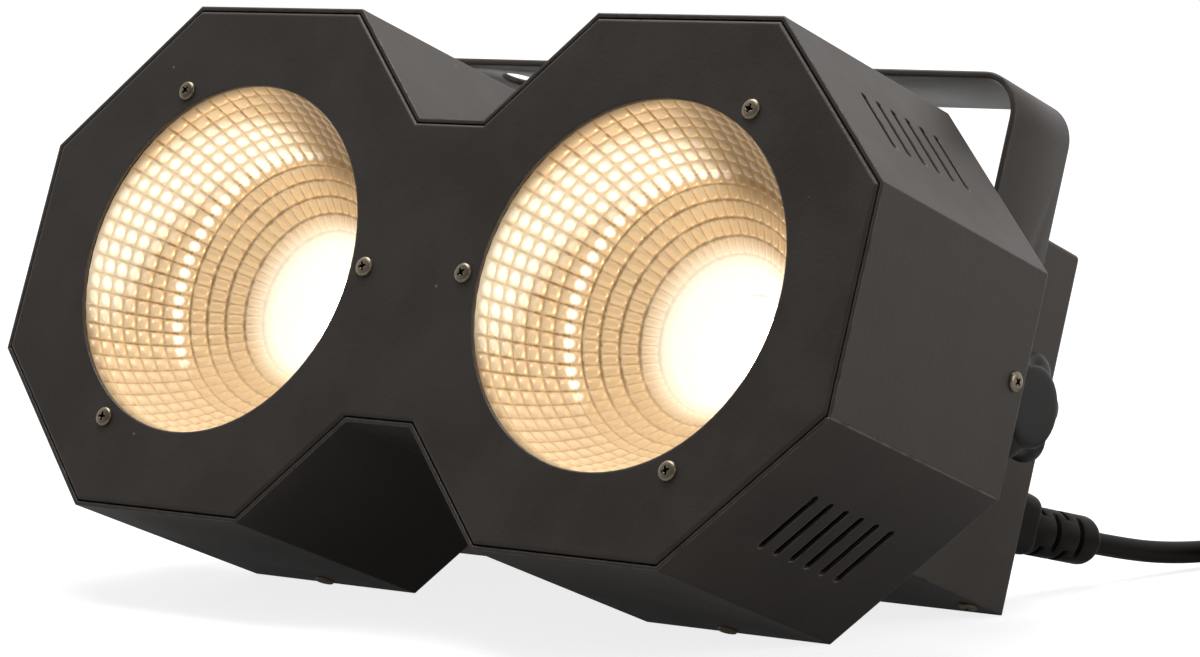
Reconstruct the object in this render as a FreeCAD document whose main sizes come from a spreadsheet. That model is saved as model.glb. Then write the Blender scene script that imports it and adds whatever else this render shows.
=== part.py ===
"""Audience blinder light: a twin octagonal lamp head with two warm white LEDs in
faceted reflectors, a rear box with the electronics, a yoke with two star knobs,
and a mains lead. Millimetres.

The pieces are drawn in the fixture's own frame: X to the right seen from the
front, Y rearwards from the front panel's face, Z up between the two flat tops.
The fixture rests tilted back on the rear bottom edges of its head and its rear
box, so one placement turns every piece into that stand: Z=0 is the table.
"""
import FreeCAD, Part
import math
import os

import Sketcher
from FreeCAD import Placement, Rotation, Vector

SIZES = [
    # lamp head
    ("lamp_spacing", 158.0), ("lamp_half_width", 79.8), ("lamp_half_height", 79.4),
    ("corner_cut", 46.4), ("waist_half_width", 12.4), ("fan_room", 2.0),
    ("sheet", 1.2), ("shell_setback", 0.6), ("panel_gap", 0.5), ("plate_gap", 0.2),
    ("panel_flange", 9.0), ("back_flange", 10.0), ("bend_radius", 1.0),
    ("aperture_radius", 54.3), ("screw_circle", 59.85), ("screw_angle", 60.0),
    ("shell_screw_inset", 4.8), ("cable_hole_radius", 7.0), ("cable_hole_offset", 13.0),
    # cooling slots
    ("vent_count", 6), ("vent_first", 24.5), ("vent_pitch", 7.4), ("vent_length", 22.5),
    ("vent_width", 2.6), ("vent_shift", 2.0),
    # reflector and its holder
    ("mouth_radius", 55.0), ("throat_radius", 15.0), ("throat_depth", 56.0),
    ("bead_radius", 42.5), ("bead_depth", 30.0), ("outer_bulge", 1.2), ("inner_bulge", 2.6),
    ("reflector_wall", 1.0), ("reflector_sectors", 60), ("outer_rows", 6), ("inner_rows", 5),
    ("flange_radius", 57.2), ("flange_thick", 1.0), ("ring_inner", 56.3), ("ring_outer", 63.5),
    ("ring_thick", 2.0), ("boss_radius", 2.6), ("boss_length", 10.0),
    # LED, clamp, heat sink, fan
    ("led_board", 28.0), ("led_board_thick", 1.0), ("led_light_radius", 11.0),
    ("led_light_thick", 0.8), ("clamp_radius", 22.0), ("clamp_thick", 3.0),
    ("led_board_play", 0.1), ("sink_side", 90.0), ("sink_base", 4.0), ("fin_count", 13),
    ("fin_pitch", 5.0), ("fin_thick", 1.3), ("fin_height", 10.0), ("fin_length", 84.0),
    ("post_offset", 38.5), ("post_radius", 3.0), ("fan_side", 60.0), ("fan_depth", 8.0),
    ("fan_bore", 28.5), ("fan_plate", 1.5), ("hub_radius", 12.5), ("hub_depth", 5.5),
    ("blade_count", 7), ("blade_tip", 27.0), ("blade_chord", 8.0), ("blade_thick", 1.0),
    ("blade_pitch", 35.0), ("strut_width", 4.0), ("fan_shaft_radius", 1.5),
    ("fan_play", 0.05), ("fan_gap", 0.5),
    # rear box
    ("box_half_width", 120.0), ("box_depth", 70.2), ("box_top", 58.3), ("box_bottom", 52.7),
    ("box_bend", 1.6), ("floor_gap", 0.4), ("floor_lip", 10.0),
    # boards in the box
    ("board_thick", 1.6), ("supply_length", 150.0), ("supply_depth", 40.0),
    ("supply_height", 36.0), ("supply_inset", 20.0), ("supply_lift", 0.3),
    ("supply_slots", 9), ("supply_slot_width", 3.0), ("supply_slot_pitch", 12.0),
    ("driver_length", 130.0), ("driver_height", 44.0), ("driver_centre_z", 28.0),
    ("driver_spacer", 5.0), ("coil_radius", 9.0), ("coil_height", 14.0),
    ("capacitor_radius", 5.0), ("capacitor_height", 18.0), ("spacer_radius", 3.0),
    # display and buttons
    ("display_centre_x", -54.0), ("display_centre_z", 22.0), ("display_width", 46.0),
    ("display_height", 18.0), ("display_play", 0.15), ("display_rim", 1.5),
    ("display_stand", 0.8), ("display_lip", 1.6), ("button_count", 4), ("button_pitch", 15.0),
    ("button_row_z", -6.0), ("button_radius", 4.0), ("button_play", 0.1),
    ("button_stand", 2.6), ("button_collar", 1.1), ("button_collar_thick", 1.0),
    ("button_travel", 1.0), ("button_dome", 0.5),
    ("button_seat", 0.1), ("switch_size", 6.0), ("switch_height", 3.5),
    ("control_width", 76.0), ("control_height", 54.0), ("control_centre_z", 8.0),
    # round signal sockets
    ("dmx_in_x", 10.0), ("dmx_out_x", 50.0), ("dmx_z", -21.0), ("dmx_plate_width", 26.0),
    ("dmx_plate_height", 31.0), ("dmx_plate_thick", 2.0), ("dmx_corner", 3.0),
    ("dmx_body_radius", 11.8), ("dmx_body_depth", 20.0), ("dmx_cavity_radius", 9.4),
    ("dmx_cavity_depth", 14.0), ("dmx_pin_radius", 1.2), ("dmx_pin_circle", 4.3),
    ("dmx_pin_length", 11.0), ("dmx_hole_play", 0.3), ("dmx_contact_radius", 1.5),
    ("dmx_contact_depth", 12.0), ("dmx_screw_x", 9.5),
    ("dmx_screw_z", 12.0), ("latch_width", 6.0), ("latch_height", 3.4), ("latch_stand", 2.2),
    ("latch_depth", 7.0), ("latch_play", 0.1), ("latch_offset", 8.6), ("latch_travel", 1.0),
    # mains inlet
    ("inlet_inset", 20.0), ("inlet_z", -21.5), ("inlet_plate_width", 31.0),
    ("inlet_plate_top", 12.5), ("inlet_plate_bottom", 25.0), ("inlet_plate_thick", 2.2),
    ("inlet_body_width", 27.4), ("inlet_body_top", 10.6), ("inlet_body_bottom", 23.0),
    ("inlet_body_depth", 24.0), ("socket_width", 24.6), ("socket_height", 17.0),
    ("socket_depth", 15.5), ("socket_bevel", 5.0), ("inlet_play", 0.15),
    ("drawer_width", 18.0), ("drawer_height", 8.0), ("drawer_depth", 20.0),
    ("drawer_drop", 17.0), ("drawer_play", 0.2), ("drawer_lip", 0.9), ("drawer_lip_thick", 1.2),
    ("fuse_well", 6.4), ("fuse_well_first", 6.0), ("fuse_radius", 2.5), ("fuse_length", 14.0),
    ("fuse_play", 0.1), ("pin_blade_width", 4.0), ("pin_blade_thick", 2.0),
    ("pin_blade_length", 13.0), ("pin_spread", 7.0), ("pin_rise", 2.0),
    # yoke, knobs
    ("pivot_behind_head", 32.7), ("pivot_z", 2.0), ("yoke_strap", 30.0), ("yoke_thick", 2.0),
    ("yoke_foot_flat", 0.12),
    ("yoke_rise", 96.5), ("yoke_bend", 14.0), ("clamp_hole", 6.5), ("clamp_hole_offset", 82.0),
    ("washer_thick", 1.0), ("washer_radius", 12.0), ("stud_radius", 4.0), ("stud_play", 0.08),
    ("stud_length", 36.0), ("nut_radius", 6.5), ("nut_length", 12.0), ("knob_radius", 18.0),
    ("knob_height", 18.5), ("knob_hub_radius", 8.5), ("knob_hub_height", 6.0),
    ("knob_disc_radius", 11.8), ("knob_disc_stand", 1.2), ("knob_shoulder", 3.0),
    ("knob_lobes", 6), ("knob_flute_radius", 8.0), ("knob_flute_circle", 22.6),
    ("knob_turn", 13.0), ("knob_gap", 0.3), ("yoke_play", 0.1),
    # safety eye
    ("eye_z", 40.0), ("eye_plate", 20.0), ("eye_thick", 3.0), ("eye_stand", 20.0),
    ("eye_hole", 6.0), ("eye_foot", 34.0), ("eye_screw", 12.0),
    # screws
    ("screw_shank", 1.5), ("screw_play", 0.05), ("screw_head_radius", 3.0),
    ("screw_head_height", 1.2), ("screw_length", 9.0), ("short_screw", 5.0),
    ("floor_screw_inset", 5.0), ("floor_screw_row", 52.0), ("floor_screw_first", 8.0),
    # mains lead
    ("plug_width", 27.5), ("plug_height", 18.6), ("plug_stand", 20.0), ("plug_round", 4.5),
    ("plug_play", 0.3), ("plug_gap", 0.2), ("neck_radius", 7.6), ("neck_tip_radius", 4.6),
    ("neck_length", 40.0), ("neck_taper", 5.0), ("neck_lift", 8.0), ("neck_turn", 6.0),
    ("neck_root", 3.0), ("neck_slots", 5),
    ("neck_slot_pitch", 5.6), ("neck_slot_width", 2.0), ("neck_slot_first", 5.0),
    ("neck_slot_depth", 3.0), ("cord_radius", 3.5), ("cord_sides", 8), ("coil_lift", 4.8),
    ("coil_pitch", 7.6), ("coil_layer", 7.7), ("coil_outer", 50.8), ("coil_x", 168.8),
    ("coil_y", 193.0), ("coil_start", 165.0), ("coil_end", -10.0), ("coil_whole_turns", 5),
    ("tail_length", 7.0), ("lead_first_run", 20.0), ("lead_last_run", 20.0), ("mains_tail", 18.0),
    ("tie_width", 9.0), ("tie_thick", 0.8), ("tie_angle", 80.0), ("tie_play", 0.35),
    ("mains_relief", 20.0), ("mains_relief_tip", 5.0), ("mains_relief_root", 7.0),
    ("mains_radius", 12.4), ("mains_length", 34.0), ("mains_round", 4.0), ("mains_pin_length", 16.0),
    ("mains_pin_width", 6.3), ("mains_pin_thick", 1.6), ("mains_pin_spread", 6.35),
    ("mains_earth_radius", 2.4), ("mains_earth_drop", 6.0),
    # one overrun for every cut
    ("overrun", 4.0),
]

# Sizes that follow from others: the head is as deep as the stack inside it needs, the
# notches between the lamps are cut at 45 degrees, and the supply and the mains inlet
# keep to the box's two sides.
WORKED_OUT = [
    ("head_depth", "throat_depth + clamp_thick + sink_base + fin_height + fan_depth"
     " + fan_room + sheet"),
    ("waist_half_height", "lamp_half_height + lamp_half_width - corner_cut - lamp_spacing / 2"
     " + waist_half_width"),
    ("supply_centre", "supply_length / 2 + supply_inset - box_half_width"),
    ("inlet_x", "box_half_width - inlet_inset"),
]

# The lead's route on the table from the plug to the coil, in the stand's frame.
# Its first and last runs are worked out from the plug and the coil, so only the
# points between them are listed.
LEAD_POINTS = [(109.2, 159.0, 5.9)]

# Where a corner's arc starts, as a share of the shorter run beside it.
ARC_SHARE = 0.45
# Steps in each turn where the coil's gap to itself is measured.
GAP_STEPS = 48

doc = FreeCAD.newDocument("audience_blinder_light")
sheet = doc.addObject("Spreadsheet::Sheet", "Sizes")
for row, (alias, number) in enumerate(SIZES, start=1):
    sheet.set(f"A{row}", alias)
    sheet.set(f"B{row}", str(number))
    sheet.setAlias(f"B{row}", alias)
for row, (alias, formula) in enumerate(WORKED_OUT, start=len(SIZES) + 1):
    sheet.set(f"A{row}", alias)
    sheet.set(f"B{row}", f"={formula}")
    sheet.setAlias(f"B{row}", alias)
doc.recompute()
NAMES = {alias for alias, value in SIZES + WORKED_OUT}

PIECES = []


def ex(text):
    """Sheet names in an expression get the sheet's own name in front."""
    words = []
    word = ""
    for letter in text + " ":
        if letter.isalnum() or letter == "_":
            word += letter
            continue
        words.append("Sizes." + word if word in NAMES else word)
        words.append(letter)
        word = ""
    return "".join(words).strip()


def size(text):
    """The value of an expression over the sheet's names, in millimetres or degrees."""
    answer = sheet.evalExpression(ex(text))
    return float(getattr(answer, "Value", answer))


def count(text):
    """A sheet value that is a number of things."""
    return int(round(size(text)))


def bind(thing, **expressions):
    """Each property of the object follows its expression."""
    for name, text in expressions.items():
        thing.setExpression(name, ex(text))
    return thing


def keep(thing, label, local=None):
    """A finished sub-part under its name, with its own place in the fixture's frame."""
    if thing.isDerivedFrom("Part::Primitive"):
        thing = group(f"{label}_whole", [thing])
    thing.Label = label
    PIECES.append((thing, local or Placement()))
    return thing


def new_body(name):
    return doc.addObject("PartDesign::Body", name)


def plane(body, role):
    return next(f for f in body.Origin.OriginFeatures if f.Role == role)


def new_sketch(body, name, role="XZ_Plane", offset="0", turn=None, base=None):
    """A sketch on one of the body's planes, moved along its normal by offset.

    On XZ_Plane the normal points to -Y, so a depth behind the front is -(depth).
    """
    sketch = body.newObject("Sketcher::SketchObject", name)
    sketch.AttachmentSupport = (plane(body, role), [""])
    sketch.MapMode = "FlatFace"
    if turn:
        sketch.AttachmentOffset = Placement(Vector(), turn)
    for axis, text in (base or {"z": offset}).items():
        sketch.setExpression(f"AttachmentOffset.Base.{axis}", ex(text))
    return sketch


def pin_point(sketch, geometry, position, x, y):
    """Dimensions from the sketch's origin hold a point where x and, if given, y say."""
    for kind, text in (("DistanceX", x), ("DistanceY", y)):
        if text is None:
            continue
        number = sketch.addConstraint(
            Sketcher.Constraint(kind, -1, 1, geometry, position, size(text)))
        sketch.setExpression(f"Constraints[{number}]", ex(text))


def polygon(sketch, corners):
    """A closed outline whose corners are pairs of expressions."""
    first = sketch.GeometryCount
    total = len(corners)
    points = [Vector(size(x), size(y), 0) for x, y in corners]
    for i in range(total):
        sketch.addGeometry(Part.LineSegment(points[i], points[(i + 1) % total]), False)
    for i in range(total):
        sketch.addConstraint(
            Sketcher.Constraint("Coincident", first + i, 2, first + (i + 1) % total, 1))
    for i, (x, y) in enumerate(corners):
        pin_point(sketch, first + i, 1, x, y)
    return sketch


def rectangle(sketch, x_low, y_low, x_high, y_high):
    return polygon(sketch, [(x_low, y_low), (x_high, y_low), (x_high, y_high), (x_low, y_high)])


def circle(sketch, x, y, radius):
    centre = Vector(size(x), size(y), 0)
    number = sketch.addGeometry(Part.Circle(centre, Vector(0, 0, 1), size(radius)), False)
    pin_point(sketch, number, 3, x, y)
    limit = sketch.addConstraint(Sketcher.Constraint("Radius", number, size(radius)))
    sketch.setExpression(f"Constraints[{limit}]", ex(radius))
    return sketch


def stadium(sketch, x, y, length, width):
    """A slot with round ends, its long way along the sketch's X."""
    reach = f"(({length}) - ({width})) / 2"
    radius = size(f"({width}) / 2")
    middle = size(y)
    left = size(f"({x}) - {reach}")
    right = size(f"({x}) + {reach}")
    up = Vector(0, 0, 1)
    first = sketch.addGeometry(Part.LineSegment(
        Vector(left, middle + radius, 0), Vector(right, middle + radius, 0)), False)
    sketch.addGeometry(Part.LineSegment(
        Vector(left, middle - radius, 0), Vector(right, middle - radius, 0)), False)
    quarter = math.pi / 2
    sketch.addGeometry(Part.ArcOfCircle(
        Part.Circle(Vector(left, middle, 0), up, radius), quarter, 3 * quarter), False)
    sketch.addGeometry(Part.ArcOfCircle(
        Part.Circle(Vector(right, middle, 0), up, radius), -quarter, quarter), False)
    for line_end, arc, arc_end in ((1, 2, 1), (2, 3, 2)):
        sketch.addConstraint(
            Sketcher.Constraint("Coincident", first, line_end, first + arc, arc_end))
    for line_end, arc, arc_end in ((1, 2, 2), (2, 3, 1)):
        sketch.addConstraint(
            Sketcher.Constraint("Coincident", first + 1, line_end, first + arc, arc_end))
    pin_point(sketch, first + 2, 3, f"({x}) - {reach}", None)
    pin_point(sketch, first + 3, 3, f"({x}) + {reach}", None)
    pin_point(sketch, first, 1, f"({x}) - {reach}", f"({y}) + ({width}) / 2")
    pin_point(sketch, first, 2, f"({x}) + {reach}", f"({y}) + ({width}) / 2")
    pin_point(sketch, first + 1, 1, f"({x}) - {reach}", f"({y}) - ({width}) / 2")
    pin_point(sketch, first + 1, 2, f"({x}) + {reach}", f"({y}) - ({width}) / 2")
    return sketch


def pad(body, sketch, length, back=True):
    """Adds material, to the rear (+Y) of an XZ sketch when back is true."""
    feature = body.newObject("PartDesign::Pad", "pad")
    feature.Profile = sketch
    feature.Reversed = back
    bind(feature, Length=length)
    sketch.Visibility = False
    return feature


def pocket(body, sketch, length=None, forward=False, both=False):
    """Cuts to the rear (+Y) of an XZ sketch, or forward; without a length it cuts all."""
    feature = body.newObject("PartDesign::Pocket", "pocket")
    feature.Profile = sketch
    feature.Reversed = forward
    feature.Midplane = both
    if length:
        bind(feature, Length=length)
    else:
        feature.Type = "ThroughAll"
    return feature


def polar(body, feature, sketch_or_axis, number):
    pattern = body.newObject("PartDesign::PolarPattern", "ring_of")
    pattern.Originals = [feature]
    pattern.Axis = sketch_or_axis
    bind(pattern, Occurrences=number)
    body.Tip = pattern
    return pattern


def row_of(body, feature, axis, length, number, back=False):
    pattern = body.newObject("PartDesign::LinearPattern", "row_of")
    pattern.Originals = [feature]
    pattern.Direction = axis
    pattern.Reversed = back
    bind(pattern, Length=length, Occurrences=number)
    body.Tip = pattern
    return pattern


def edges_where(shape, test):
    return [f"Edge{i}" for i, edge in enumerate(shape.Edges, start=1) if test(edge)]


def rounding(body, base, names, radius, kind="PartDesign::Fillet"):
    feature = body.newObject(kind, "round")
    feature.Base = (base, names)
    bind(feature, **{"Radius" if kind.endswith("Fillet") else "Size": radius})
    body.Tip = feature
    return feature


def straight(edge):
    return isinstance(edge.Curve, Part.Line)


def along(edge, axis):
    """True where a straight edge runs along the axis, a unit vector."""
    if not straight(edge):
        return False
    way = edge.Vertexes[-1].Point - edge.Vertexes[0].Point
    return abs(way.normalize().dot(axis)) > 1 - 1e-6


def cylinder(name, radius, length, x="0", y="0", z="0", way="y"):
    """A Part cylinder from a point along +Y, or along X or Z."""
    turns = {"y": Rotation(Vector(1, 0, 0), -90), "x": Rotation(Vector(0, 1, 0), 90),
             "z": Rotation(), "-x": Rotation(Vector(0, 1, 0), -90),
             "-z": Rotation(Vector(1, 0, 0), 180), "-y": Rotation(Vector(1, 0, 0), 90)}
    thing = doc.addObject("Part::Cylinder", name)
    bind(thing, Radius=radius, Height=length)
    thing.Placement = Placement(Vector(), turns[way])
    for axis, text in (("x", x), ("y", y), ("z", z)):
        thing.setExpression(f"Placement.Base.{axis}", ex(text))
    return thing


def block(name, x_low, y_low, z_low, length, depth, height):
    """A Part box by its lowest corner and its sizes along X, Y and Z."""
    thing = doc.addObject("Part::Box", name)
    bind(thing, Length=length, Width=depth, Height=height)
    for axis, text in (("x", x_low), ("y", y_low), ("z", z_low)):
        thing.setExpression(f"Placement.Base.{axis}", ex(text))
    return thing


def fused(name, things):
    thing = doc.addObject("Part::MultiFuse", name)
    thing.Shapes = things
    thing.Refine = True
    return thing


def cut(name, base, tool):
    thing = doc.addObject("Part::Cut", name)
    thing.Base = base
    thing.Tool = tool
    return thing


def group(name, things):
    """Several like solids in one node, such as a set of screws."""
    thing = doc.addObject("Part::Compound", name)
    thing.Links = things
    return thing


SIDES = (("left", "-1"), ("right", "1"))
SLANT = 45
BLADE_STEPS = (("-pin_spread", "-pin_rise"), ("pin_spread", "-pin_rise"), ("0", "pin_rise"))
HALF_FLAT = "(lamp_half_width - corner_cut)"
HALF_WALL = "(lamp_half_height - corner_cut)"
LAMP_X = "(lamp_spacing / 2)"


def head_corners(inset):
    """The head's outline moved inwards by inset, from the right wall's foot round the top."""
    mitre = f"({inset}) * tan(22.5 deg)"
    wall_x = f"{LAMP_X} + lamp_half_width - ({inset})"
    wall_z = f"{HALF_WALL} - {mitre}"
    top_z = f"lamp_half_height - ({inset})"
    far_x = f"{LAMP_X} + {HALF_FLAT} - {mitre}"
    near_x = f"{LAMP_X} - {HALF_FLAT} + {mitre}"
    waist_z = f"waist_half_height - ({inset})"
    waist_x = f"{LAMP_X} - {HALF_FLAT} - lamp_half_height + waist_half_height + {mitre}"
    quarter = [(wall_x, wall_z), (far_x, top_z), (near_x, top_z), (waist_x, waist_z)]
    top = quarter + [(f"-({x})", z) for x, z in reversed(quarter)]
    bottom = [(x, f"-({z})") for x, z in reversed(top)]
    return top, bottom


def front_screws_at():
    """The six places of the front screws: towards the waist, and two on the outer side."""
    places = []
    for side, sign in SIDES:
        places.append((f"{sign} * ({LAMP_X} - screw_circle)", "0"))
        for up in ("1", "-1"):
            places.append((f"{sign} * ({LAMP_X} + screw_circle * cos(screw_angle * 1 deg))",
                           f"{up} * screw_circle * sin(screw_angle * 1 deg)"))
    return places


def front_panel():
    body = new_body("front_panel")
    top, bottom = head_corners("sheet + panel_gap")
    outline = polygon(new_sketch(body, "panel_outline"), top + bottom)
    tray = pad(body, outline, "panel_flange")
    inner_top, inner_bottom = head_corners("2 * sheet + panel_gap")
    inner = polygon(new_sketch(body, "panel_inside", offset="-sheet"), inner_top + inner_bottom)
    pocket(body, inner)
    holes = new_sketch(body, "panel_holes")
    for side, sign in SIDES:
        circle(holes, f"{sign} * {LAMP_X}", "0", "aperture_radius")
    for x, z in front_screws_at():
        circle(holes, x, z, "screw_shank + screw_play")
    last = pocket(body, holes)
    doc.recompute()
    rim = edges_where(last.Shape, lambda e: straight(e) and e.CenterOfMass.y < 1e-6
                      and e.BoundBox.YLength < 1e-6)
    rounding(body, last, rim, "bend_radius")
    return keep(body, "front_panel")


def shell_holes(body, name, role, places):
    """Clearance holes for the screws that pass through a shell or a flange."""
    sketch = new_sketch(body, name, role)
    for x, y in places:
        circle(sketch, x, y, "screw_shank + screw_play")
    feature = pocket(body, sketch, both=True)
    feature.Type = "ThroughAll"
    return feature


def vents(body, upper):
    """Six slots in each outer slanted wall, one behind the other."""
    for side, sign in SIDES:
        angle = (SLANT if upper else 180 - SLANT) * (1 if side == "right" else -1)
        centre_x = f"{sign} * ({LAMP_X} + lamp_half_width - corner_cut / 2)"
        centre_z = f"{'1' if upper else '-1'} * (lamp_half_height - corner_cut / 2)"
        turn = Rotation(Vector(0, 1, 0), angle)
        sketch = new_sketch(body, f"vent_{side}", "XY_Plane", turn=turn,
                            base={"x": centre_x, "z": centre_z})
        toward_flat = -1 if (side == "right") == upper else 1
        stadium(sketch, f"{toward_flat} * vent_shift", "vent_first", "vent_length", "vent_width")
        slot = pocket(body, sketch, "2 * overrun", both=True)
        row_of(body, slot, (sketch, ["V_Axis"]), "vent_pitch * (vent_count - 1)", "vent_count")


def head_shell(label, upper):
    """One folded sheet: the upper one wraps down the side walls to the lower corner."""
    body = new_body(label)
    outer_top, outer_bottom = head_corners("0")
    inner_top, inner_bottom = head_corners("sheet")
    seam = f"-{HALF_WALL}"
    if upper:
        foot = [(outer_top[0][0], seam)]
        heel = [(outer_top[-1][0], seam)]
        outer = foot + outer_top + heel
        inner = [(inner_top[0][0], seam)] + inner_top + [(inner_top[-1][0], seam)]
    else:
        outer = outer_bottom
        foot_x = f"{inner_top[0][0]} - sheet * tan(22.5 deg)"
        inner = [(f"-({foot_x})", seam)] + inner_bottom[1:-1] + [(foot_x, seam)]
    section = new_sketch(body, f"{label}_section", offset="-shell_setback")
    polygon(section, outer + list(reversed(inner)))
    pad(body, section, "head_depth - shell_setback")
    vents(body, upper)
    depth = "head_depth - shell_screw_inset"
    if upper:
        shell_holes(body, "side_holes", "YZ_Plane", [(depth, "0")])
    shell_holes(body, "flat_holes", "XY_Plane", [(f"{sign} * {LAMP_X}", depth)
                                                 for side, sign in SIDES])
    return keep(body, label)


def back_plate():
    body = new_body("back_plate")
    top, bottom = head_corners("sheet + plate_gap")
    outline = new_sketch(body, "plate_outline", offset="-(head_depth - back_flange)")
    pad(body, polygon(outline, top + bottom), "back_flange")
    inner_top, inner_bottom = head_corners("2 * sheet + plate_gap")
    inner = new_sketch(body, "plate_inside", offset="-(head_depth - back_flange)")
    pocket(body, polygon(inner, inner_top + inner_bottom), "back_flange - sheet")
    holes = new_sketch(body, "cable_holes", offset="-(head_depth - back_flange)")
    for side, sign in SIDES:
        circle(holes, f"{sign} * cable_hole_offset", "0", "cable_hole_radius")
    pocket(body, holes)
    depth = "head_depth - shell_screw_inset"
    shell_holes(body, "side_holes", "YZ_Plane", [(depth, "0")])
    shell_holes(body, "flat_holes", "XY_Plane", [(f"{sign} * {LAMP_X}", depth)
                                                 for side, sign in SIDES])
    return keep(body, "back_plate")


def reflector_rings():
    """The facets' corners from mouth to throat: two slightly hollow zones that meet on
    the bead line, each as (radius, depth)."""
    mouth = (size("mouth_radius"), size("sheet + flange_thick"))
    bead = (size("bead_radius"), size("bead_depth"))
    throat = (size("throat_radius"), size("throat_depth"))
    rings = [mouth]
    for start, end, bulge, rows in ((mouth, bead, size("outer_bulge"), count("outer_rows")),
                                    (bead, throat, size("inner_bulge"), count("inner_rows"))):
        for i in range(1, rows + 1):
            share = i / rows
            hollow = 4 * bulge * share * (1 - share)
            rings.append((start[0] + (end[0] - start[0]) * share + hollow,
                          start[1] + (end[1] - start[1]) * share))
    return rings


def faceted_reflector(label, centre_x):
    """A bowl of flat facets: a ring of sectors, each with rows from mouth to throat."""
    sectors = count("reflector_sectors")
    wall = size("reflector_wall")
    front, flange_back = size("sheet"), size("sheet + flange_thick")
    rim = size("flange_radius")
    rings = reflector_rings()
    inner = [(rim, front), (rings[0][0], front)] + rings
    outer = [(radius + wall, depth) for radius, depth in reversed(rings)]
    profile = inner + outer + [(rim, flange_back)]

    def ring_point(radius, depth, sector):
        angle = 2 * math.pi * sector / sectors
        return Vector(centre_x + radius * math.cos(angle), depth, radius * math.sin(angle))

    faces = []
    for i, (radius, depth) in enumerate(profile):
        next_radius, next_depth = profile[(i + 1) % len(profile)]
        if abs(radius - next_radius) + abs(depth - next_depth) < 1e-9:
            continue
        for sector in range(sectors):
            corners = [ring_point(radius, depth, sector), ring_point(radius, depth, sector + 1),
                       ring_point(next_radius, next_depth, sector + 1),
                       ring_point(next_radius, next_depth, sector)]
            faces.append(Part.Face(Part.makePolygon(corners + corners[:1])))
    shell = Part.makeShell(faces)
    shell.sewShape()
    solid = Part.makeSolid(shell)
    if solid.Volume < 0:
        solid.reverse()
    thing = doc.addObject("Part::Feature", label)
    thing.Shape = solid
    return keep(thing, label)


def lamp(side, sign):
    """Everything behind one aperture, from the reflector to the fan."""
    x = f"{sign} * {LAMP_X}"
    faceted_reflector(f"reflector_{side}", size(x))

    holder = new_body(f"reflector_holder_{side}")
    ring = new_sketch(holder, "ring", offset="-(sheet + flange_thick)")
    circle(ring, x, "0", "ring_outer")
    circle(ring, x, "0", "ring_inner")
    pad(holder, ring, "ring_thick")
    bosses = new_sketch(holder, "bosses", offset="-sheet")
    bores = new_sketch(holder, "bores", offset="-sheet")
    for place_x, place_z in front_screws_at():
        if (size(place_x) > 0) == (size(x) > 0):
            circle(bosses, place_x, place_z, "boss_radius")
            circle(bores, place_x, place_z, "screw_shank + screw_play")
    pad(holder, bosses, "boss_length")
    pocket(holder, bores)
    keep(holder, f"reflector_holder_{side}")

    board = block(f"board_{side}", f"{x} - led_board / 2", "throat_depth + clamp_thick - led_board_thick",
                  "-led_board / 2", "led_board", "led_board_thick", "led_board")
    keep(board, f"led_board_{side}")
    light = cylinder(f"light_{side}", "led_light_radius", "led_light_thick", x,
                     "throat_depth + clamp_thick - led_board_thick - led_light_thick", "0")
    keep(light, f"led_light_{side}")

    clamp = new_body(f"led_clamp_{side}")
    disc = new_sketch(clamp, "disc", offset="-throat_depth")
    circle(disc, x, "0", "clamp_radius")
    circle(disc, x, "0", "throat_radius")
    pad(clamp, disc, "clamp_thick")
    seat = new_sketch(clamp, "seat", offset="-(throat_depth + clamp_thick - led_board_thick)")
    play = "(led_board / 2 + led_board_play)"
    rectangle(seat, f"{x} - {play}", f"-{play}", f"{x} + {play}", play)
    pocket(clamp, seat)
    keep(clamp, f"led_clamp_{side}")

    sink = new_body(f"heat_sink_{side}")
    sink_front = "(throat_depth + clamp_thick)"
    plate = new_sketch(sink, "base", offset=f"-{sink_front}")
    half = "sink_side / 2"
    rectangle(plate, f"{x} - {half}", f"-{half}", f"{x} + {half}", half)
    pad(sink, plate, "sink_base")
    fin = new_sketch(sink, "fin", offset=f"-({sink_front} + sink_base)")
    first = f"({x} - fin_pitch * (fin_count - 1) / 2)"
    rectangle(fin, f"{first} - fin_thick / 2", "-fin_length / 2",
              f"{first} + fin_thick / 2", "fin_length / 2")
    row_of(sink, pad(sink, fin, "fin_height"), (fin, ["H_Axis"]),
           "fin_pitch * (fin_count - 1)", "fin_count")
    keep(sink, f"heat_sink_{side}")

    post_front = f"({sink_front} + sink_base)"
    posts = []
    for number, (dx, dz) in enumerate(((-1, -1), (1, -1), (-1, 1), (1, 1))):
        posts.append(cylinder(f"post_{side}_{number}", "post_radius",
                              f"head_depth - sheet - {post_front}", f"{x} + {dx} * post_offset",
                              post_front, f"{dz} * post_offset"))
    keep(group(f"sink_posts_{side}", posts), f"sink_posts_{side}")
    fan(side, x, f"({post_front} + fin_height)")


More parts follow.
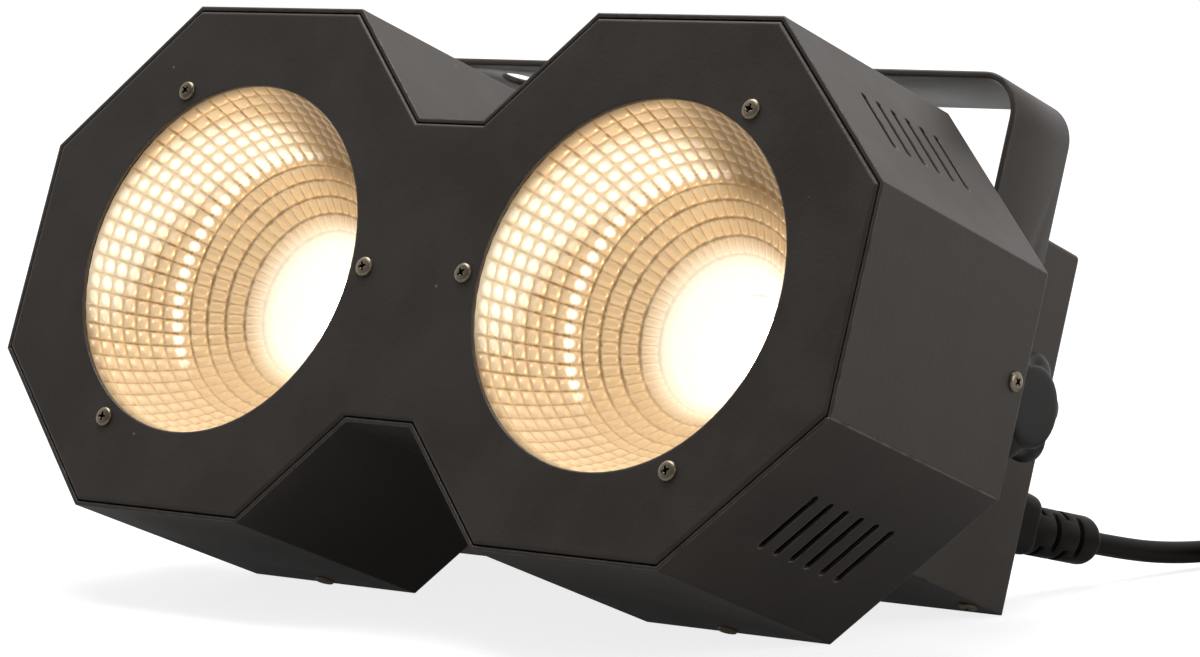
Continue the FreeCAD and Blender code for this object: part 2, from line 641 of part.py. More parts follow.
def fan(side, x, front):
    """An axial fan on the fins: a frame with a bearing plate, and a bladed rotor."""
    frame = new_body(f"fan_frame_{side}")
    square = new_sketch(frame, "square", offset=f"-{front}")
    half = "fan_side / 2"
    rectangle(square, f"{x} - {half}", f"-{half}", f"{x} + {half}", half)
    circle(square, x, "0", "fan_bore")
    pad(frame, square, "fan_depth")
    plate_front = f"({front} + fan_depth - fan_plate)"
    for name, wide, tall in (("bar", "fan_bore + plate_gap", "strut_width / 2"),
                             ("post", "strut_width / 2", "fan_bore + plate_gap")):
        bar = new_sketch(frame, name, offset=f"-{plate_front}")
        rectangle(bar, f"{x} - ({wide})", f"-({tall})", f"{x} + ({wide})", tall)
        pad(frame, bar, "fan_plate")
    seat = new_sketch(frame, "bearing_seat", offset=f"-{plate_front}")
    circle(seat, x, "0", "hub_radius")
    pad(frame, seat, "fan_plate")
    bore = new_sketch(frame, "bearing", offset=f"-{front}")
    circle(bore, x, "0", "fan_shaft_radius + fan_play")
    pocket(frame, bore)
    keep(frame, f"fan_frame_{side}")

    rotor = new_body(f"fan_rotor_{side}")
    hub_back = f"({plate_front} - fan_gap)"
    hub = new_sketch(rotor, "hub", offset=f"-({hub_back} - hub_depth)")
    circle(hub, "0", "0", "hub_radius")
    pad(rotor, hub, "hub_depth")
    shaft = new_sketch(rotor, "shaft", offset=f"-{hub_back}")
    circle(shaft, "0", "0", "fan_shaft_radius")
    pad(rotor, shaft, "fan_gap + fan_plate")
    blade = new_sketch(rotor, "blade", "YZ_Plane", offset="hub_radius / 2")
    middle = f"({hub_back} - hub_depth / 2)"
    along_y = "blade_chord / 2 * sin(blade_pitch * 1 deg)"
    along_z = "blade_chord / 2 * cos(blade_pitch * 1 deg)"
    thick = "blade_thick / 2"
    polygon(blade, [(f"{middle} - {along_y} - {thick}", f"-{along_z}"),
                    (f"{middle} + {along_y} - {thick}", along_z),
                    (f"{middle} + {along_y} + {thick}", along_z),
                    (f"{middle} - {along_y} + {thick}", f"-{along_z}")])
    blade_pad = pad(rotor, blade, "blade_tip - hub_radius / 2", back=False)
    polar(rotor, blade_pad, (plane(rotor, "Y_Axis"), [""]), "blade_count")
    keep(rotor, f"fan_rotor_{side}", Placement(Vector(size(x), 0, 0), Rotation()))


BOX_BACK = "(head_depth + box_depth)"
PIVOT_Y = "(head_depth + pivot_behind_head)"


def rear_box_cover():
    """Top, two sides and the rear wall of the box, folded from one sheet."""
    body = new_body("rear_box_cover")
    outline = new_sketch(body, "box_outline", offset="-head_depth")
    rectangle(outline, "-box_half_width", "-box_bottom", "box_half_width", "box_top")
    outer = pad(body, outline, "box_depth")
    doc.recompute()
    back = size(BOX_BACK)
    folds = edges_where(outer.Shape, lambda e: straight(e) and (
        (along(e, Vector(0, 0, 1)) and abs(e.CenterOfMass.y - back) < 1e-6)
        or (e.CenterOfMass.z > size("box_top") - 1e-6 and not along(e, Vector(1, 0, 0)))
        or (e.CenterOfMass.z > size("box_top") - 1e-6 and abs(e.CenterOfMass.y - back) < 1e-6)))
    rounding(body, outer, folds, "box_bend")
    inside = new_sketch(body, "box_inside", offset="-head_depth")
    rectangle(inside, "-(box_half_width - sheet)", "-(box_bottom + overrun)",
              "box_half_width - sheet", "box_top - sheet")
    pocket(body, inside, "box_depth - sheet")
    lips = new_sketch(body, "floor_lips", offset="-head_depth")
    low = "(sheet - box_bottom)"
    for side, sign in SIDES:
        wall_x = "(box_half_width - sheet / 2)"
        lip_x = "(box_half_width - sheet - floor_lip)"
        ends = (f"-{wall_x}", f"-{lip_x}") if side == "left" else (lip_x, wall_x)
        rectangle(lips, ends[0], low, ends[1], f"{low} + sheet")
    pad(body, lips, "box_depth - sheet / 2")
    lip_holes = new_sketch(body, "lip_holes", "XY_Plane", offset=f"{low} - overrun")
    for x, y in floor_screw_places():
        circle(lip_holes, x, y, "screw_shank + screw_play")
    pocket(body, lip_holes, "2 * overrun", forward=True)
    holes = new_sketch(body, "rear_holes", offset="-head_depth")
    circle(holes, "dmx_in_x", "dmx_z", "dmx_body_radius + dmx_hole_play")
    circle(holes, "dmx_out_x", "dmx_z", "dmx_body_radius + dmx_hole_play")
    rectangle(holes, "inlet_x - inlet_body_width / 2 - inlet_play",
              "inlet_z - inlet_body_bottom - inlet_play",
              "inlet_x + inlet_body_width / 2 + inlet_play",
              "inlet_z + inlet_body_top + inlet_play")
    rectangle(holes, "display_centre_x - display_width / 2", "display_centre_z - display_height / 2",
              "display_centre_x + display_width / 2", "display_centre_z + display_height / 2")
    for x in button_places():
        circle(holes, x, "button_row_z", "button_radius + button_play")
    for x, z in dmx_screw_places() + eye_screw_places():
        circle(holes, x, z, "screw_shank + screw_play")
    pocket(body, holes)
    pivots = new_sketch(body, "pivot_holes", "YZ_Plane")
    circle(pivots, PIVOT_Y, "pivot_z", "stud_radius + stud_play")
    pocket(body, pivots, both=True).Type = "ThroughAll"
    return keep(body, "rear_box_cover")


def rear_box_floor():
    """The bottom plate, under the cover's two lips."""
    body = new_body("rear_box_floor")
    half = "(box_half_width - sheet - floor_gap)"
    outline = new_sketch(body, "floor_outline", "XY_Plane", offset="sheet - box_bottom")
    rectangle(outline, f"-{half}", "head_depth + floor_gap", half,
              "head_depth + box_depth - sheet - floor_gap")
    pad(body, outline, "sheet")
    holes = new_sketch(body, "floor_holes", "XY_Plane", offset="sheet - box_bottom + overrun")
    for x, y in floor_screw_places():
        circle(holes, x, y, "screw_shank + screw_play")
    pocket(body, holes, "sheet + 2 * overrun")
    return keep(body, "rear_box_floor")


def floor_screw_places():
    return [(f"{sign} * (box_half_width - sheet - floor_screw_inset)",
             f"head_depth + floor_screw_first + {row} * floor_screw_row")
            for side, sign in SIDES for row in range(2)]


def button_places():
    return [f"display_centre_x + ({number} - (button_count - 1) / 2) * button_pitch"
            for number in range(count("button_count"))]


def dmx_screw_places():
    places = []
    for centre in ("dmx_in_x", "dmx_out_x"):
        places += [(f"{centre} - dmx_screw_x", "dmx_z + dmx_screw_z"),
                   (f"{centre} + dmx_screw_x", "dmx_z - dmx_screw_z")]
    return places


def eye_screw_places():
    return [(f"{sign} * eye_screw", "eye_z") for side, sign in SIDES]


def electronics():
    """The supply in its slotted case, the LED driver and the control board."""
    floor_top = "(-box_bottom + sheet)"
    supply = new_body("power_supply")
    outline = new_sketch(supply, "case", offset="-(head_depth + supply_lift)")
    low = f"({floor_top} + supply_lift)"
    rectangle(outline, "supply_centre - supply_length / 2", low,
              "supply_centre + supply_length / 2", f"{low} + supply_height")
    pad(supply, outline, "supply_depth")
    slot = new_sketch(supply, "slot", "XY_Plane", offset=f"{low} + supply_height")
    first = "(supply_centre - supply_slot_pitch * (supply_slots - 1) / 2)"
    rectangle(slot, f"{first} - supply_slot_width / 2", "head_depth + supply_depth / 4",
              f"{first} + supply_slot_width / 2", "head_depth + supply_depth * 3 / 4")
    row_of(supply, pocket(supply, slot, "board_thick"), (slot, ["H_Axis"]),
           "supply_slot_pitch * (supply_slots - 1)", "supply_slots")
    keep(supply, "power_supply")

    front = "(head_depth + driver_spacer)"
    pieces = [block("driver_plate", "supply_centre - driver_length / 2", front,
                    "driver_centre_z - driver_height / 2", "driver_length", "board_thick",
                    "driver_height")]
    parts_front = f"({front} + board_thick)"
    for number in range(2):
        pieces.append(cylinder(f"choke_{number}", "coil_radius", "coil_height",
                               f"supply_centre + ({number} - 1 / 2) * driver_length / 2",
                               parts_front, "driver_centre_z"))
    for number in range(4):
        pieces.append(cylinder(f"capacitor_{number}", "capacitor_radius", "capacitor_height",
                               f"supply_centre + ({number} - 3 / 2) * driver_length / 5 + coil_radius * 2",
                               parts_front, "driver_centre_z + driver_height / 3"))
    for number, (dx, dz) in enumerate(((-1, -1), (1, -1), (-1, 1), (1, 1))):
        pieces.append(cylinder(f"driver_foot_{number}", "spacer_radius", "driver_spacer",
                               f"supply_centre + {dx} * (driver_length / 2 - spacer_radius)",
                               "head_depth", f"driver_centre_z + {dz} * (driver_height / 2 - spacer_radius)"))
    keep(fused("driver_fused", pieces), "led_driver")

    wall = f"({BOX_BACK} - sheet)"
    board_back = f"({wall} - 2 * button_seat - button_collar_thick - button_travel - switch_height)"
    pieces = [block("control_plate", "display_centre_x - control_width / 2",
                    f"{board_back} - board_thick", "control_centre_z - control_height / 2",
                    "control_width", "board_thick", "control_height")]
    for number, x in enumerate(button_places()):
        pieces.append(block(f"switch_{number}", f"{x} - switch_size / 2", board_back,
                            "button_row_z - switch_size / 2", "switch_size", "switch_height",
                            "switch_size"))
    pieces.append(block("digits", "display_centre_x - display_width / 2 + display_rim", board_back,
                        "display_centre_z - display_height / 2 + display_rim",
                        "display_width - 2 * display_rim",
                        f"{wall} - display_lip - {board_back}", "display_height - 2 * display_rim"))
    for number, (dx, dz) in enumerate(((-1, -1), (1, -1), (-1, 1), (1, 1))):
        pieces.append(cylinder(f"control_foot_{number}", "spacer_radius", f"{wall} - {board_back}",
                               f"display_centre_x + {dx} * (control_width / 2 - spacer_radius)",
                               board_back, f"control_centre_z + {dz} * (control_height / 2 - spacer_radius)"))
    keep(fused("control_fused", pieces), "control_board")


def display_window():
    """A clear window that lies in the rear wall's cut-out with a lip behind it."""
    wall = f"({BOX_BACK} - sheet)"
    pane_width = "(display_width - 2 * display_play)"
    pane_height = "(display_height - 2 * display_play)"
    pane = block("pane", f"display_centre_x - {pane_width} / 2", wall,
                 f"display_centre_z - {pane_height} / 2", pane_width,
                 "sheet + display_stand", pane_height)
    lip = block("lip", f"display_centre_x - {pane_width} / 2 - display_rim", f"{wall} - display_lip",
                f"display_centre_z - {pane_height} / 2 - display_rim",
                f"{pane_width} + 2 * display_rim", "display_lip",
                f"{pane_height} + 2 * display_rim")
    keep(fused("display_fused", [pane, lip]), "display_window")


def menu_button(number, x):
    """A domed cap with a collar that stops it behind the wall."""
    body = new_body(f"menu_button_{number + 1}")
    wall = f"({BOX_BACK} - sheet)"
    foot = f"({wall} - button_seat - button_collar_thick)"
    profile = new_sketch(body, "button_profile", "YZ_Plane")
    top = f"{BOX_BACK} + button_stand"
    polygon(profile, [
        (foot, "0"), (top, "0"), (top, "button_radius - button_dome"),
        (f"{top} - button_dome", "button_radius"), (f"{foot} + button_collar_thick", "button_radius"),
        (f"{foot} + button_collar_thick", "button_radius + button_collar"),
        (foot, "button_radius + button_collar")])
    cap = body.newObject("PartDesign::Revolution", "cap")
    cap.Profile = profile
    cap.ReferenceAxis = (profile, ["H_Axis"])
    local = Placement(Vector(size(x), 0, size("button_row_z")), Rotation())
    keep(body, f"menu_button_{number + 1}", local)


def rounded_plate(body, name, x, z, width, height, corner, depth, thick):
    sketch = new_sketch(body, name, offset=f"-({depth})")
    rectangle(sketch, f"{x} - {width} / 2", f"{z} - {height} / 2",
              f"{x} + {width} / 2", f"{z} + {height} / 2")
    plate = pad(body, sketch, thick)
    doc.recompute()
    upright = edges_where(plate.Shape, lambda e: along(e, Vector(0, 1, 0)))
    return rounding(body, plate, upright, corner)


def dmx_sockets():
    """The male inlet with three pins in its cup, and the female outlet with its latch."""
    for label, x in (("dmx_in_socket", "dmx_in_x"), ("dmx_out_socket", "dmx_out_x")):
        male = label == "dmx_in_socket"
        body = new_body(label)
        rounded_plate(body, "flange", x, "dmx_z", "dmx_plate_width", "dmx_plate_height",
                      "dmx_corner", BOX_BACK, "dmx_plate_thick")
        barrel = new_sketch(body, "barrel", offset=f"-({BOX_BACK} - dmx_body_depth)")
        circle(barrel, x, "dmx_z", "dmx_body_radius")
        pad(body, barrel, "dmx_body_depth + dmx_plate_thick")
        face = f"({BOX_BACK} + dmx_plate_thick)"
        if male:
            cup = new_sketch(body, "cup", offset=f"-({face} - dmx_cavity_depth)")
            circle(cup, x, "dmx_z", "dmx_cavity_radius")
            pocket(body, cup)
        else:
            contacts = new_sketch(body, "contacts", offset=f"-({face} - dmx_contact_depth)")
            for pin_x, pin_z in pin_places(x):
                circle(contacts, pin_x, pin_z, "dmx_contact_radius")
            pocket(body, contacts)
            slot = new_sketch(body, "latch_slot", offset=f"-({face} - latch_depth)")
            rectangle(slot, f"{x} - latch_width / 2 - latch_play",
                      "dmx_z + latch_offset - latch_height / 2 - latch_play",
                      f"{x} + latch_width / 2 + latch_play",
                      "dmx_z + latch_offset + latch_height / 2 + latch_play")
            pocket(body, slot)
        screws = new_sketch(body, "flange_holes", offset=f"-({BOX_BACK} - overrun)")
        for place_x, place_z in dmx_screw_places():
            if abs(size(place_x) - size(x)) < size("dmx_plate_width"):
                circle(screws, place_x, place_z, "screw_shank + screw_play")
        pocket(body, screws)
        keep(body, label)
    pins = []
    for number, (pin_x, pin_z) in enumerate(pin_places("dmx_in_x")):
        pins.append(cylinder(f"signal_pin_{number}", "dmx_pin_radius", "dmx_pin_length", pin_x,
                             f"{BOX_BACK} + dmx_plate_thick - dmx_cavity_depth", pin_z))
    keep(group("signal_pins", pins), "dmx_in_pins")
    latch = block("latch", "dmx_out_x - latch_width / 2",
                  f"{BOX_BACK} + dmx_plate_thick - latch_depth + latch_play + latch_travel",
                  "dmx_z + latch_offset - latch_height / 2", "latch_width",
                  "latch_depth + latch_stand - latch_play - latch_travel", "latch_height")
    keep(latch, "dmx_out_latch")


def pin_places(x):
    places = [(x, "dmx_z - dmx_pin_circle")]
    for side, sign in SIDES:
        places.append((f"{x} + {sign} * dmx_pin_circle * cos(30 deg)",
                       "dmx_z + dmx_pin_circle * sin(30 deg)"))
    return places


def socket_outline(sketch, margin):
    """The mains socket's outline: a rectangle with its two upper corners cut."""
    half_x = f"(socket_width / 2 + ({margin}))"
    half_z = f"(socket_height / 2 + ({margin}))"
    polygon(sketch, [
        (f"inlet_x - {half_x}", f"inlet_z - {half_z}"), (f"inlet_x + {half_x}", f"inlet_z - {half_z}"),
        (f"inlet_x + {half_x}", f"inlet_z + {half_z} - socket_bevel"),
        (f"inlet_x + {half_x} - socket_bevel", f"inlet_z + {half_z}"),
        (f"inlet_x - {half_x} + socket_bevel", f"inlet_z + {half_z}"),
        (f"inlet_x - {half_x}", f"inlet_z + {half_z} - socket_bevel")])
    return sketch


def mains_inlet():
    """The appliance inlet with its three blades, and the fuse drawer below the socket."""
    body = new_body("mains_inlet")
    flange = new_sketch(body, "flange", offset=f"-{BOX_BACK}")
    rectangle(flange, "inlet_x - inlet_plate_width / 2", "inlet_z - inlet_plate_bottom",
              "inlet_x + inlet_plate_width / 2", "inlet_z + inlet_plate_top")
    pad(body, flange, "inlet_plate_thick")
    case = new_sketch(body, "case", offset=f"-({BOX_BACK} - inlet_body_depth)")
    rectangle(case, "inlet_x - inlet_body_width / 2", "inlet_z - inlet_body_bottom",
              "inlet_x + inlet_body_width / 2", "inlet_z + inlet_body_top")
    pad(body, case, "inlet_body_depth")
    face = f"({BOX_BACK} + inlet_plate_thick)"
    cavity = new_sketch(body, "cavity", offset=f"-({face} - socket_depth)")
    pocket(body, socket_outline(cavity, "0"))
    bay = new_sketch(body, "fuse_bay", offset=f"-({face} - drawer_depth - drawer_play)")
    rectangle(bay, "inlet_x - drawer_width / 2 - drawer_play",
              "inlet_z - drawer_drop - drawer_height / 2 - drawer_play",
              "inlet_x + drawer_width / 2 + drawer_play",
              "inlet_z - drawer_drop + drawer_height / 2 + drawer_play")
    pocket(body, bay)
    keep(body, "mains_inlet")

    blades = []
    for number, (dx, dz) in enumerate(BLADE_STEPS):
        blades.append(block(f"inlet_blade_{number}", f"inlet_x + {dx} - pin_blade_thick / 2",
                            f"{face} - socket_depth", f"inlet_z + {dz} - pin_blade_width / 2",
                            "pin_blade_thick", "pin_blade_length", "pin_blade_width"))
    keep(group("blades", blades), "inlet_blades")

    drawer = new_body("fuse_drawer")
    tray = new_sketch(drawer, "tray", offset=f"-({face} - drawer_depth)")
    low = "(inlet_z - drawer_drop - drawer_height / 2)"
    rectangle(tray, "inlet_x - drawer_width / 2", low, "inlet_x + drawer_width / 2",
              f"{low} + drawer_height")
    pad(drawer, tray, "drawer_depth")
    front = new_sketch(drawer, "front", offset=f"-({face} + drawer_play)")
    rectangle(front, "inlet_x - drawer_width / 2 - drawer_lip", f"{low} - drawer_lip",
              "inlet_x + drawer_width / 2 + drawer_lip", f"{low} + drawer_height + drawer_lip")
    pad(drawer, front, "drawer_lip_thick")
    link = new_sketch(drawer, "link", offset=f"-{face}")
    rectangle(link, "inlet_x - drawer_width / 2", low, "inlet_x + drawer_width / 2",
              f"{low} + drawer_height")
    pad(drawer, link, "drawer_play")
    well = new_sketch(drawer, "fuse_well", "XY_Plane", offset=f"{low} + drawer_height")
    first = f"({face} - drawer_depth + fuse_well_first)"
    rectangle(well, "inlet_x - drawer_width / 2 + sheet", first,
              "inlet_x + drawer_width / 2 - sheet", f"{first} + fuse_well")
    pocket(drawer, well, "drawer_height - 2 * sheet")
    keep(drawer, "fuse_drawer")
    keep(cylinder("cartridge", "fuse_radius", "fuse_length", "inlet_x - fuse_length / 2",
                  f"{first} + fuse_well / 2", f"{low} + 2 * sheet + fuse_radius + fuse_play", "x"),
         "fuse")


def yoke_strap():
    """A bent flat bar: two arms with round feet, two corner bends and a top with three holes."""
    body = new_body("yoke")
    outer_x = "(box_half_width + washer_thick + yoke_play + yoke_thick)"
    inner_x = "(box_half_width + washer_thick + yoke_play)"
    foot_z = "(pivot_z - yoke_strap / 2)"
    top_z = "(pivot_z + yoke_rise)"
    section = new_sketch(body, "strap_section",
                         offset=f"-({PIVOT_Y} - yoke_strap / 2)")
    polygon(section, [(f"-{outer_x}", foot_z), (f"-{inner_x}", foot_z),
                      (f"-{inner_x}", f"{top_z} - yoke_thick"), (inner_x, f"{top_z} - yoke_thick"),
                      (inner_x, foot_z), (outer_x, foot_z), (outer_x, top_z),
                      (f"-{outer_x}", top_z)])
    strap = pad(body, section, "yoke_strap")
    doc.recompute()
    top = size(top_z)
    outer_bends = edges_where(strap.Shape, lambda e: along(e, Vector(0, 1, 0))
                              and e.CenterOfMass.z > top - 1e-6)
    first = rounding(body, strap, outer_bends, "yoke_bend")
    doc.recompute()
    under = size(f"{top_z} - yoke_thick")
    inner_bends = edges_where(first.Shape, lambda e: along(e, Vector(0, 1, 0))
                              and abs(e.CenterOfMass.z - under) < 1e-6
                              and abs(abs(e.CenterOfMass.x) - size(inner_x)) < 1e-6)
    second = rounding(body, first, inner_bends, "yoke_bend - yoke_thick")
    doc.recompute()
    foot = size(foot_z)
    feet = edges_where(second.Shape, lambda e: along(e, Vector(1, 0, 0))
                       and abs(e.CenterOfMass.z - foot) < 1e-6)
    rounding(body, second, feet, "yoke_strap / 2 - yoke_foot_flat")
    pivots = new_sketch(body, "pivot_holes", "YZ_Plane")
    circle(pivots, PIVOT_Y, "pivot_z", "stud_radius + stud_play")
    pocket(body, pivots, both=True).Type = "ThroughAll"
    clamps = new_sketch(body, "clamp_holes", "XY_Plane", offset=f"{top_z} + overrun")
    for x in ("0", "-clamp_hole_offset", "clamp_hole_offset"):
        circle(clamps, x, PIVOT_Y, "clamp_hole")
    pocket(body, clamps, "yoke_thick + 2 * overrun")
    return keep(body, "yoke")


def knob(side, sign):
    """A six-lobed star knob with a raised disc, its steel stud, washer and nut."""
    way = "x" if side == "right" else "-x"
    turn = Rotation(Vector(0, 0, 1), 0 if side == "right" else 180)
    seat = "(box_half_width + washer_thick + yoke_play + yoke_thick + knob_gap)"
    head_top = "(box_half_width + washer_thick + yoke_play + yoke_thick + knob_height)"
    body = new_body(f"knob_{side}")
    profile = new_sketch(body, "knob_profile", "XY_Plane")
    disc_edge = f"({head_top} - knob_disc_stand)"
    polygon(profile, [
        (seat, "0"), (head_top, "0"), (head_top, "knob_disc_radius - knob_disc_stand"),
        (disc_edge, "knob_disc_radius"),
        (f"{disc_edge} - knob_shoulder / 3", "knob_radius - knob_shoulder / 2"),
        (f"{disc_edge} - knob_shoulder", "knob_radius"),
        (f"{seat} + knob_hub_height + knob_shoulder", "knob_radius"),
        (f"{seat} + knob_hub_height", "knob_radius - knob_shoulder"),
        (f"{seat} + knob_hub_height", "knob_hub_radius"), (seat, "knob_hub_radius")])
    head = body.newObject("PartDesign::Revolution", "head")
    head.Profile = profile
    head.ReferenceAxis = (profile, ["H_Axis"])
    flute = new_sketch(body, "flute", "YZ_Plane", offset=f"{seat} + knob_hub_height - overrun / 4")
    circle(flute, "knob_flute_circle * cos(180 deg / knob_lobes)",
           "knob_flute_circle * sin(180 deg / knob_lobes)", "knob_flute_radius")
    groove = pocket(body, flute, f"{head_top} - {seat} + overrun", forward=True)
    polar(body, groove, (plane(body, "X_Axis"), [""]), "knob_lobes")
    bore = new_sketch(body, "stud_bore", "YZ_Plane", offset=f"{seat} - overrun")
    circle(bore, "0", "0", "stud_radius")
    pocket(body, bore, "overrun + knob_hub_height + knob_shoulder", forward=True)
    pivot = Vector(0, size(PIVOT_Y), size("pivot_z"))
    spin = Rotation(Vector(1, 0, 0), size("knob_turn"))
    keep(body, f"knob_{side}", Placement(pivot, turn.multiply(spin)))

    stud_end = f"({seat} + knob_hub_height + knob_shoulder)"
    stud = cylinder(f"stud_{side}", "stud_radius", "stud_length",
                    f"{sign} * ({stud_end} - stud_length)", PIVOT_Y, "pivot_z", way)
    keep(stud, f"knob_stud_{side}")
    washer_ring = cut(
        f"washer_cut_{side}",
        cylinder(f"washer_disc_{side}", "washer_radius", "washer_thick",
                 f"{sign} * box_half_width", PIVOT_Y, "pivot_z", way),
        cylinder(f"washer_bore_{side}", "stud_radius + stud_play", "washer_thick + 2 * overrun",
                 f"{sign} * (box_half_width - overrun)", PIVOT_Y, "pivot_z", way))
    keep(washer_ring, f"friction_washer_{side}")
    nut = cut(
        f"nut_cut_{side}",
        cylinder(f"nut_blank_{side}", "nut_radius", "nut_length",
                 f"{sign} * (box_half_width - sheet - nut_length)", PIVOT_Y, "pivot_z", way),
        cylinder(f"nut_bore_{side}", "stud_radius + stud_play", "nut_length + 2 * overrun",
                 f"{sign} * (box_half_width - sheet - nut_length - overrun)", PIVOT_Y, "pivot_z", way))
    keep(nut, f"pivot_nut_{side}")


def safety_eye():
    """A bent bracket on the rear wall with the eye for a safety wire."""
    body = new_body("safety_eye")
    foot = new_sketch(body, "foot", offset=f"-{BOX_BACK}")
    rectangle(foot, "-eye_foot / 2", "eye_z - eye_plate / 2 + sheet", "eye_foot / 2",
              "eye_z + eye_plate / 2 - sheet")
    pad(body, foot, "eye_thick")
    tongue = new_sketch(body, "tongue", "YZ_Plane", offset="-eye_thick / 2")
    rectangle(tongue, BOX_BACK, "eye_z - eye_plate / 2", f"{BOX_BACK} + eye_stand",
              "eye_z + eye_plate / 2")
    ear = pad(body, tongue, "eye_thick", back=False)
    doc.recompute()
    tip = size(f"{BOX_BACK} + eye_stand")
    corners = edges_where(ear.Shape, lambda e: along(e, Vector(1, 0, 0))
                          and abs(e.CenterOfMass.y - tip) < 1e-6)
    rounding(body, ear, corners, "eye_plate / 2 - sheet")
    hole = new_sketch(body, "eye_hole", "YZ_Plane")
    circle(hole, f"{BOX_BACK} + eye_stand - eye_plate / 2", "eye_z", "eye_hole")
    pocket(body, hole, "eye_thick + 2 * overrun", both=True)
    screws = new_sketch(body, "foot_holes", offset=f"-({BOX_BACK} - overrun)")
    for x, z in eye_screw_places():
        circle(screws, x, z, "screw_shank + screw_play")
    pocket(body, screws)
    return keep(body, "safety_eye")


def screw(name, x, y, z, way, length):
    """A pan head and its shank; way is the direction that the shank points."""
    steps = {"y": (0, 1, 0), "-y": (0, -1, 0), "x": (1, 0, 0), "-x": (-1, 0, 0),
             "z": (0, 0, 1), "-z": (0, 0, -1)}[way]
    back = [f"{text} - {step} * screw_head_height" for text, step in zip((x, y, z), steps)]
    head = cylinder(f"{name}_head", "screw_head_radius", "screw_head_height", *back, way=way)
    shank = cylinder(f"{name}_shank", "screw_shank", length, x, y, z, way)
    return fused(name, [head, shank])


def all_screws():
    front = [screw(f"front_screw_{i}", x, "0", z, "y", "screw_length")
             for i, (x, z) in enumerate(front_screws_at())]
    keep(group("front_set", front), "front_screws")
    depth = "head_depth - shell_screw_inset"
    side_x = f"({LAMP_X} + lamp_half_width)"
    shell = [screw("side_screw_0", f"-{side_x}", depth, "0", "x", "short_screw"),
             screw("side_screw_1", side_x, depth, "0", "-x", "short_screw")]
    for i, (side, sign) in enumerate(SIDES):
        shell.append(screw(f"top_screw_{i}", f"{sign} * {LAMP_X}", depth, "lamp_half_height",
                           "-z", "short_screw"))
        shell.append(screw(f"bottom_screw_{i}", f"{sign} * {LAMP_X}", depth, "-lamp_half_height",
                           "z", "short_screw"))
    keep(group("shell_set", shell), "shell_screws")
    rear = [screw(f"socket_screw_{i}", x, f"{BOX_BACK} + dmx_plate_thick", z, "-y", "short_screw")
            for i, (x, z) in enumerate(dmx_screw_places())]
    rear += [screw(f"eye_screw_{i}", x, f"{BOX_BACK} + eye_thick", z, "-y", "short_screw + sheet")
             for i, (x, z) in enumerate(eye_screw_places())]
    keep(group("rear_set", rear), "rear_screws")
    floor = [screw(f"floor_screw_{i}", x, y, "-box_bottom", "z", "short_screw")
             for i, (x, y) in enumerate(floor_screw_places())]
    keep(group("floor_set", floor), "floor_screws")


def lead_plug():
    """The moulded connector in the inlet, in one piece with its slotted strain relief."""
    body = new_body("plug_grip")
    face = f"({BOX_BACK} + inlet_plate_thick + plug_gap)"
    block_sketch = new_sketch(body, "grip", offset=f"-{face}")
    rectangle(block_sketch, "inlet_x - plug_width / 2", "inlet_z - plug_height / 2",
              "inlet_x + plug_width / 2", "inlet_z + plug_height / 2")
    grip = pad(body, block_sketch, "plug_stand - inlet_plate_thick - plug_gap")
    doc.recompute()
    back = size(f"{BOX_BACK} + plug_stand")
    sides = edges_where(grip.Shape, lambda e: along(e, Vector(0, 1, 0))
                        or abs(e.CenterOfMass.y - back) < 1e-6)
    rounding(body, grip, sides, "plug_round")
    nose = new_sketch(body, "nose", offset=f"-({face} - socket_depth + pin_blade_thick)")
    socket_outline(nose, "-plug_play")
    pad(body, nose, "socket_depth - pin_blade_thick + sheet")
    holes = new_sketch(body, "blade_holes", offset=f"-({face} - socket_depth)")
    for dx, dz in BLADE_STEPS:
        half_x = "(pin_blade_thick / 2 + plug_play)"
        half_z = "(pin_blade_width / 2 + plug_play)"
        rectangle(holes, f"inlet_x + {dx} - {half_x}", f"inlet_z + {dz} - {half_z}",
                  f"inlet_x + {dx} + {half_x}", f"inlet_z + {dz} + {half_z}")
    pocket(body, holes, "pin_blade_length + 4 * plug_play")
    neck = strain_relief()
    neck.Placement = neck_place()
    return keep(fused("plug_whole", [body, neck]), "lead_plug")


def strain_relief():
    """A round sleeve with staggered slots and a tapered tip; its root is inside the grip."""
    body = new_body("plug_neck")
    profile = new_sketch(body, "sleeve_profile", "YZ_Plane")
    polygon(profile, [("-neck_root", "0"), ("neck_length", "0"), ("neck_length", "neck_tip_radius"),
                      ("neck_length - neck_taper", "neck_radius"), ("-neck_root", "neck_radius")])
    sleeve = body.newObject("PartDesign::Revolution", "sleeve")
    sleeve.Profile = profile
    sleeve.ReferenceAxis = (profile, ["H_Axis"])
    inner, outer = "(neck_radius - neck_slot_depth)", "(neck_radius + overrun)"
    for index in range(count("neck_slots")):
        level = f"(neck_slot_first + {index} * neck_slot_pitch)"
        low, high = f"{level} - neck_slot_width / 2", f"{level} + neck_slot_width / 2"
        upright = index % 2 == 1
        slots = new_sketch(body, f"slot_{index}", "YZ_Plane" if upright else "XY_Plane")
        for near, far in ((inner, outer), (f"-{outer}", f"-{inner}")):
            if upright:
                rectangle(slots, low, near, high, far)
            else:
                rectangle(slots, near, low, far, high)
        pocket(body, slots, "2 * (neck_radius + overrun)", both=True)
    return body


def neck_place():
    """The relief leaves the grip's back, lifted by the table and turned with the lead."""
    start = Vector(size("inlet_x"), size(f"{BOX_BACK} + plug_stand"), size("inlet_z"))
    aside = Rotation(Vector(0, 0, 1), -size("neck_turn"))
    return Placement(start, aside.multiply(Rotation(Vector(1, 0, 0), size("neck_lift"))))


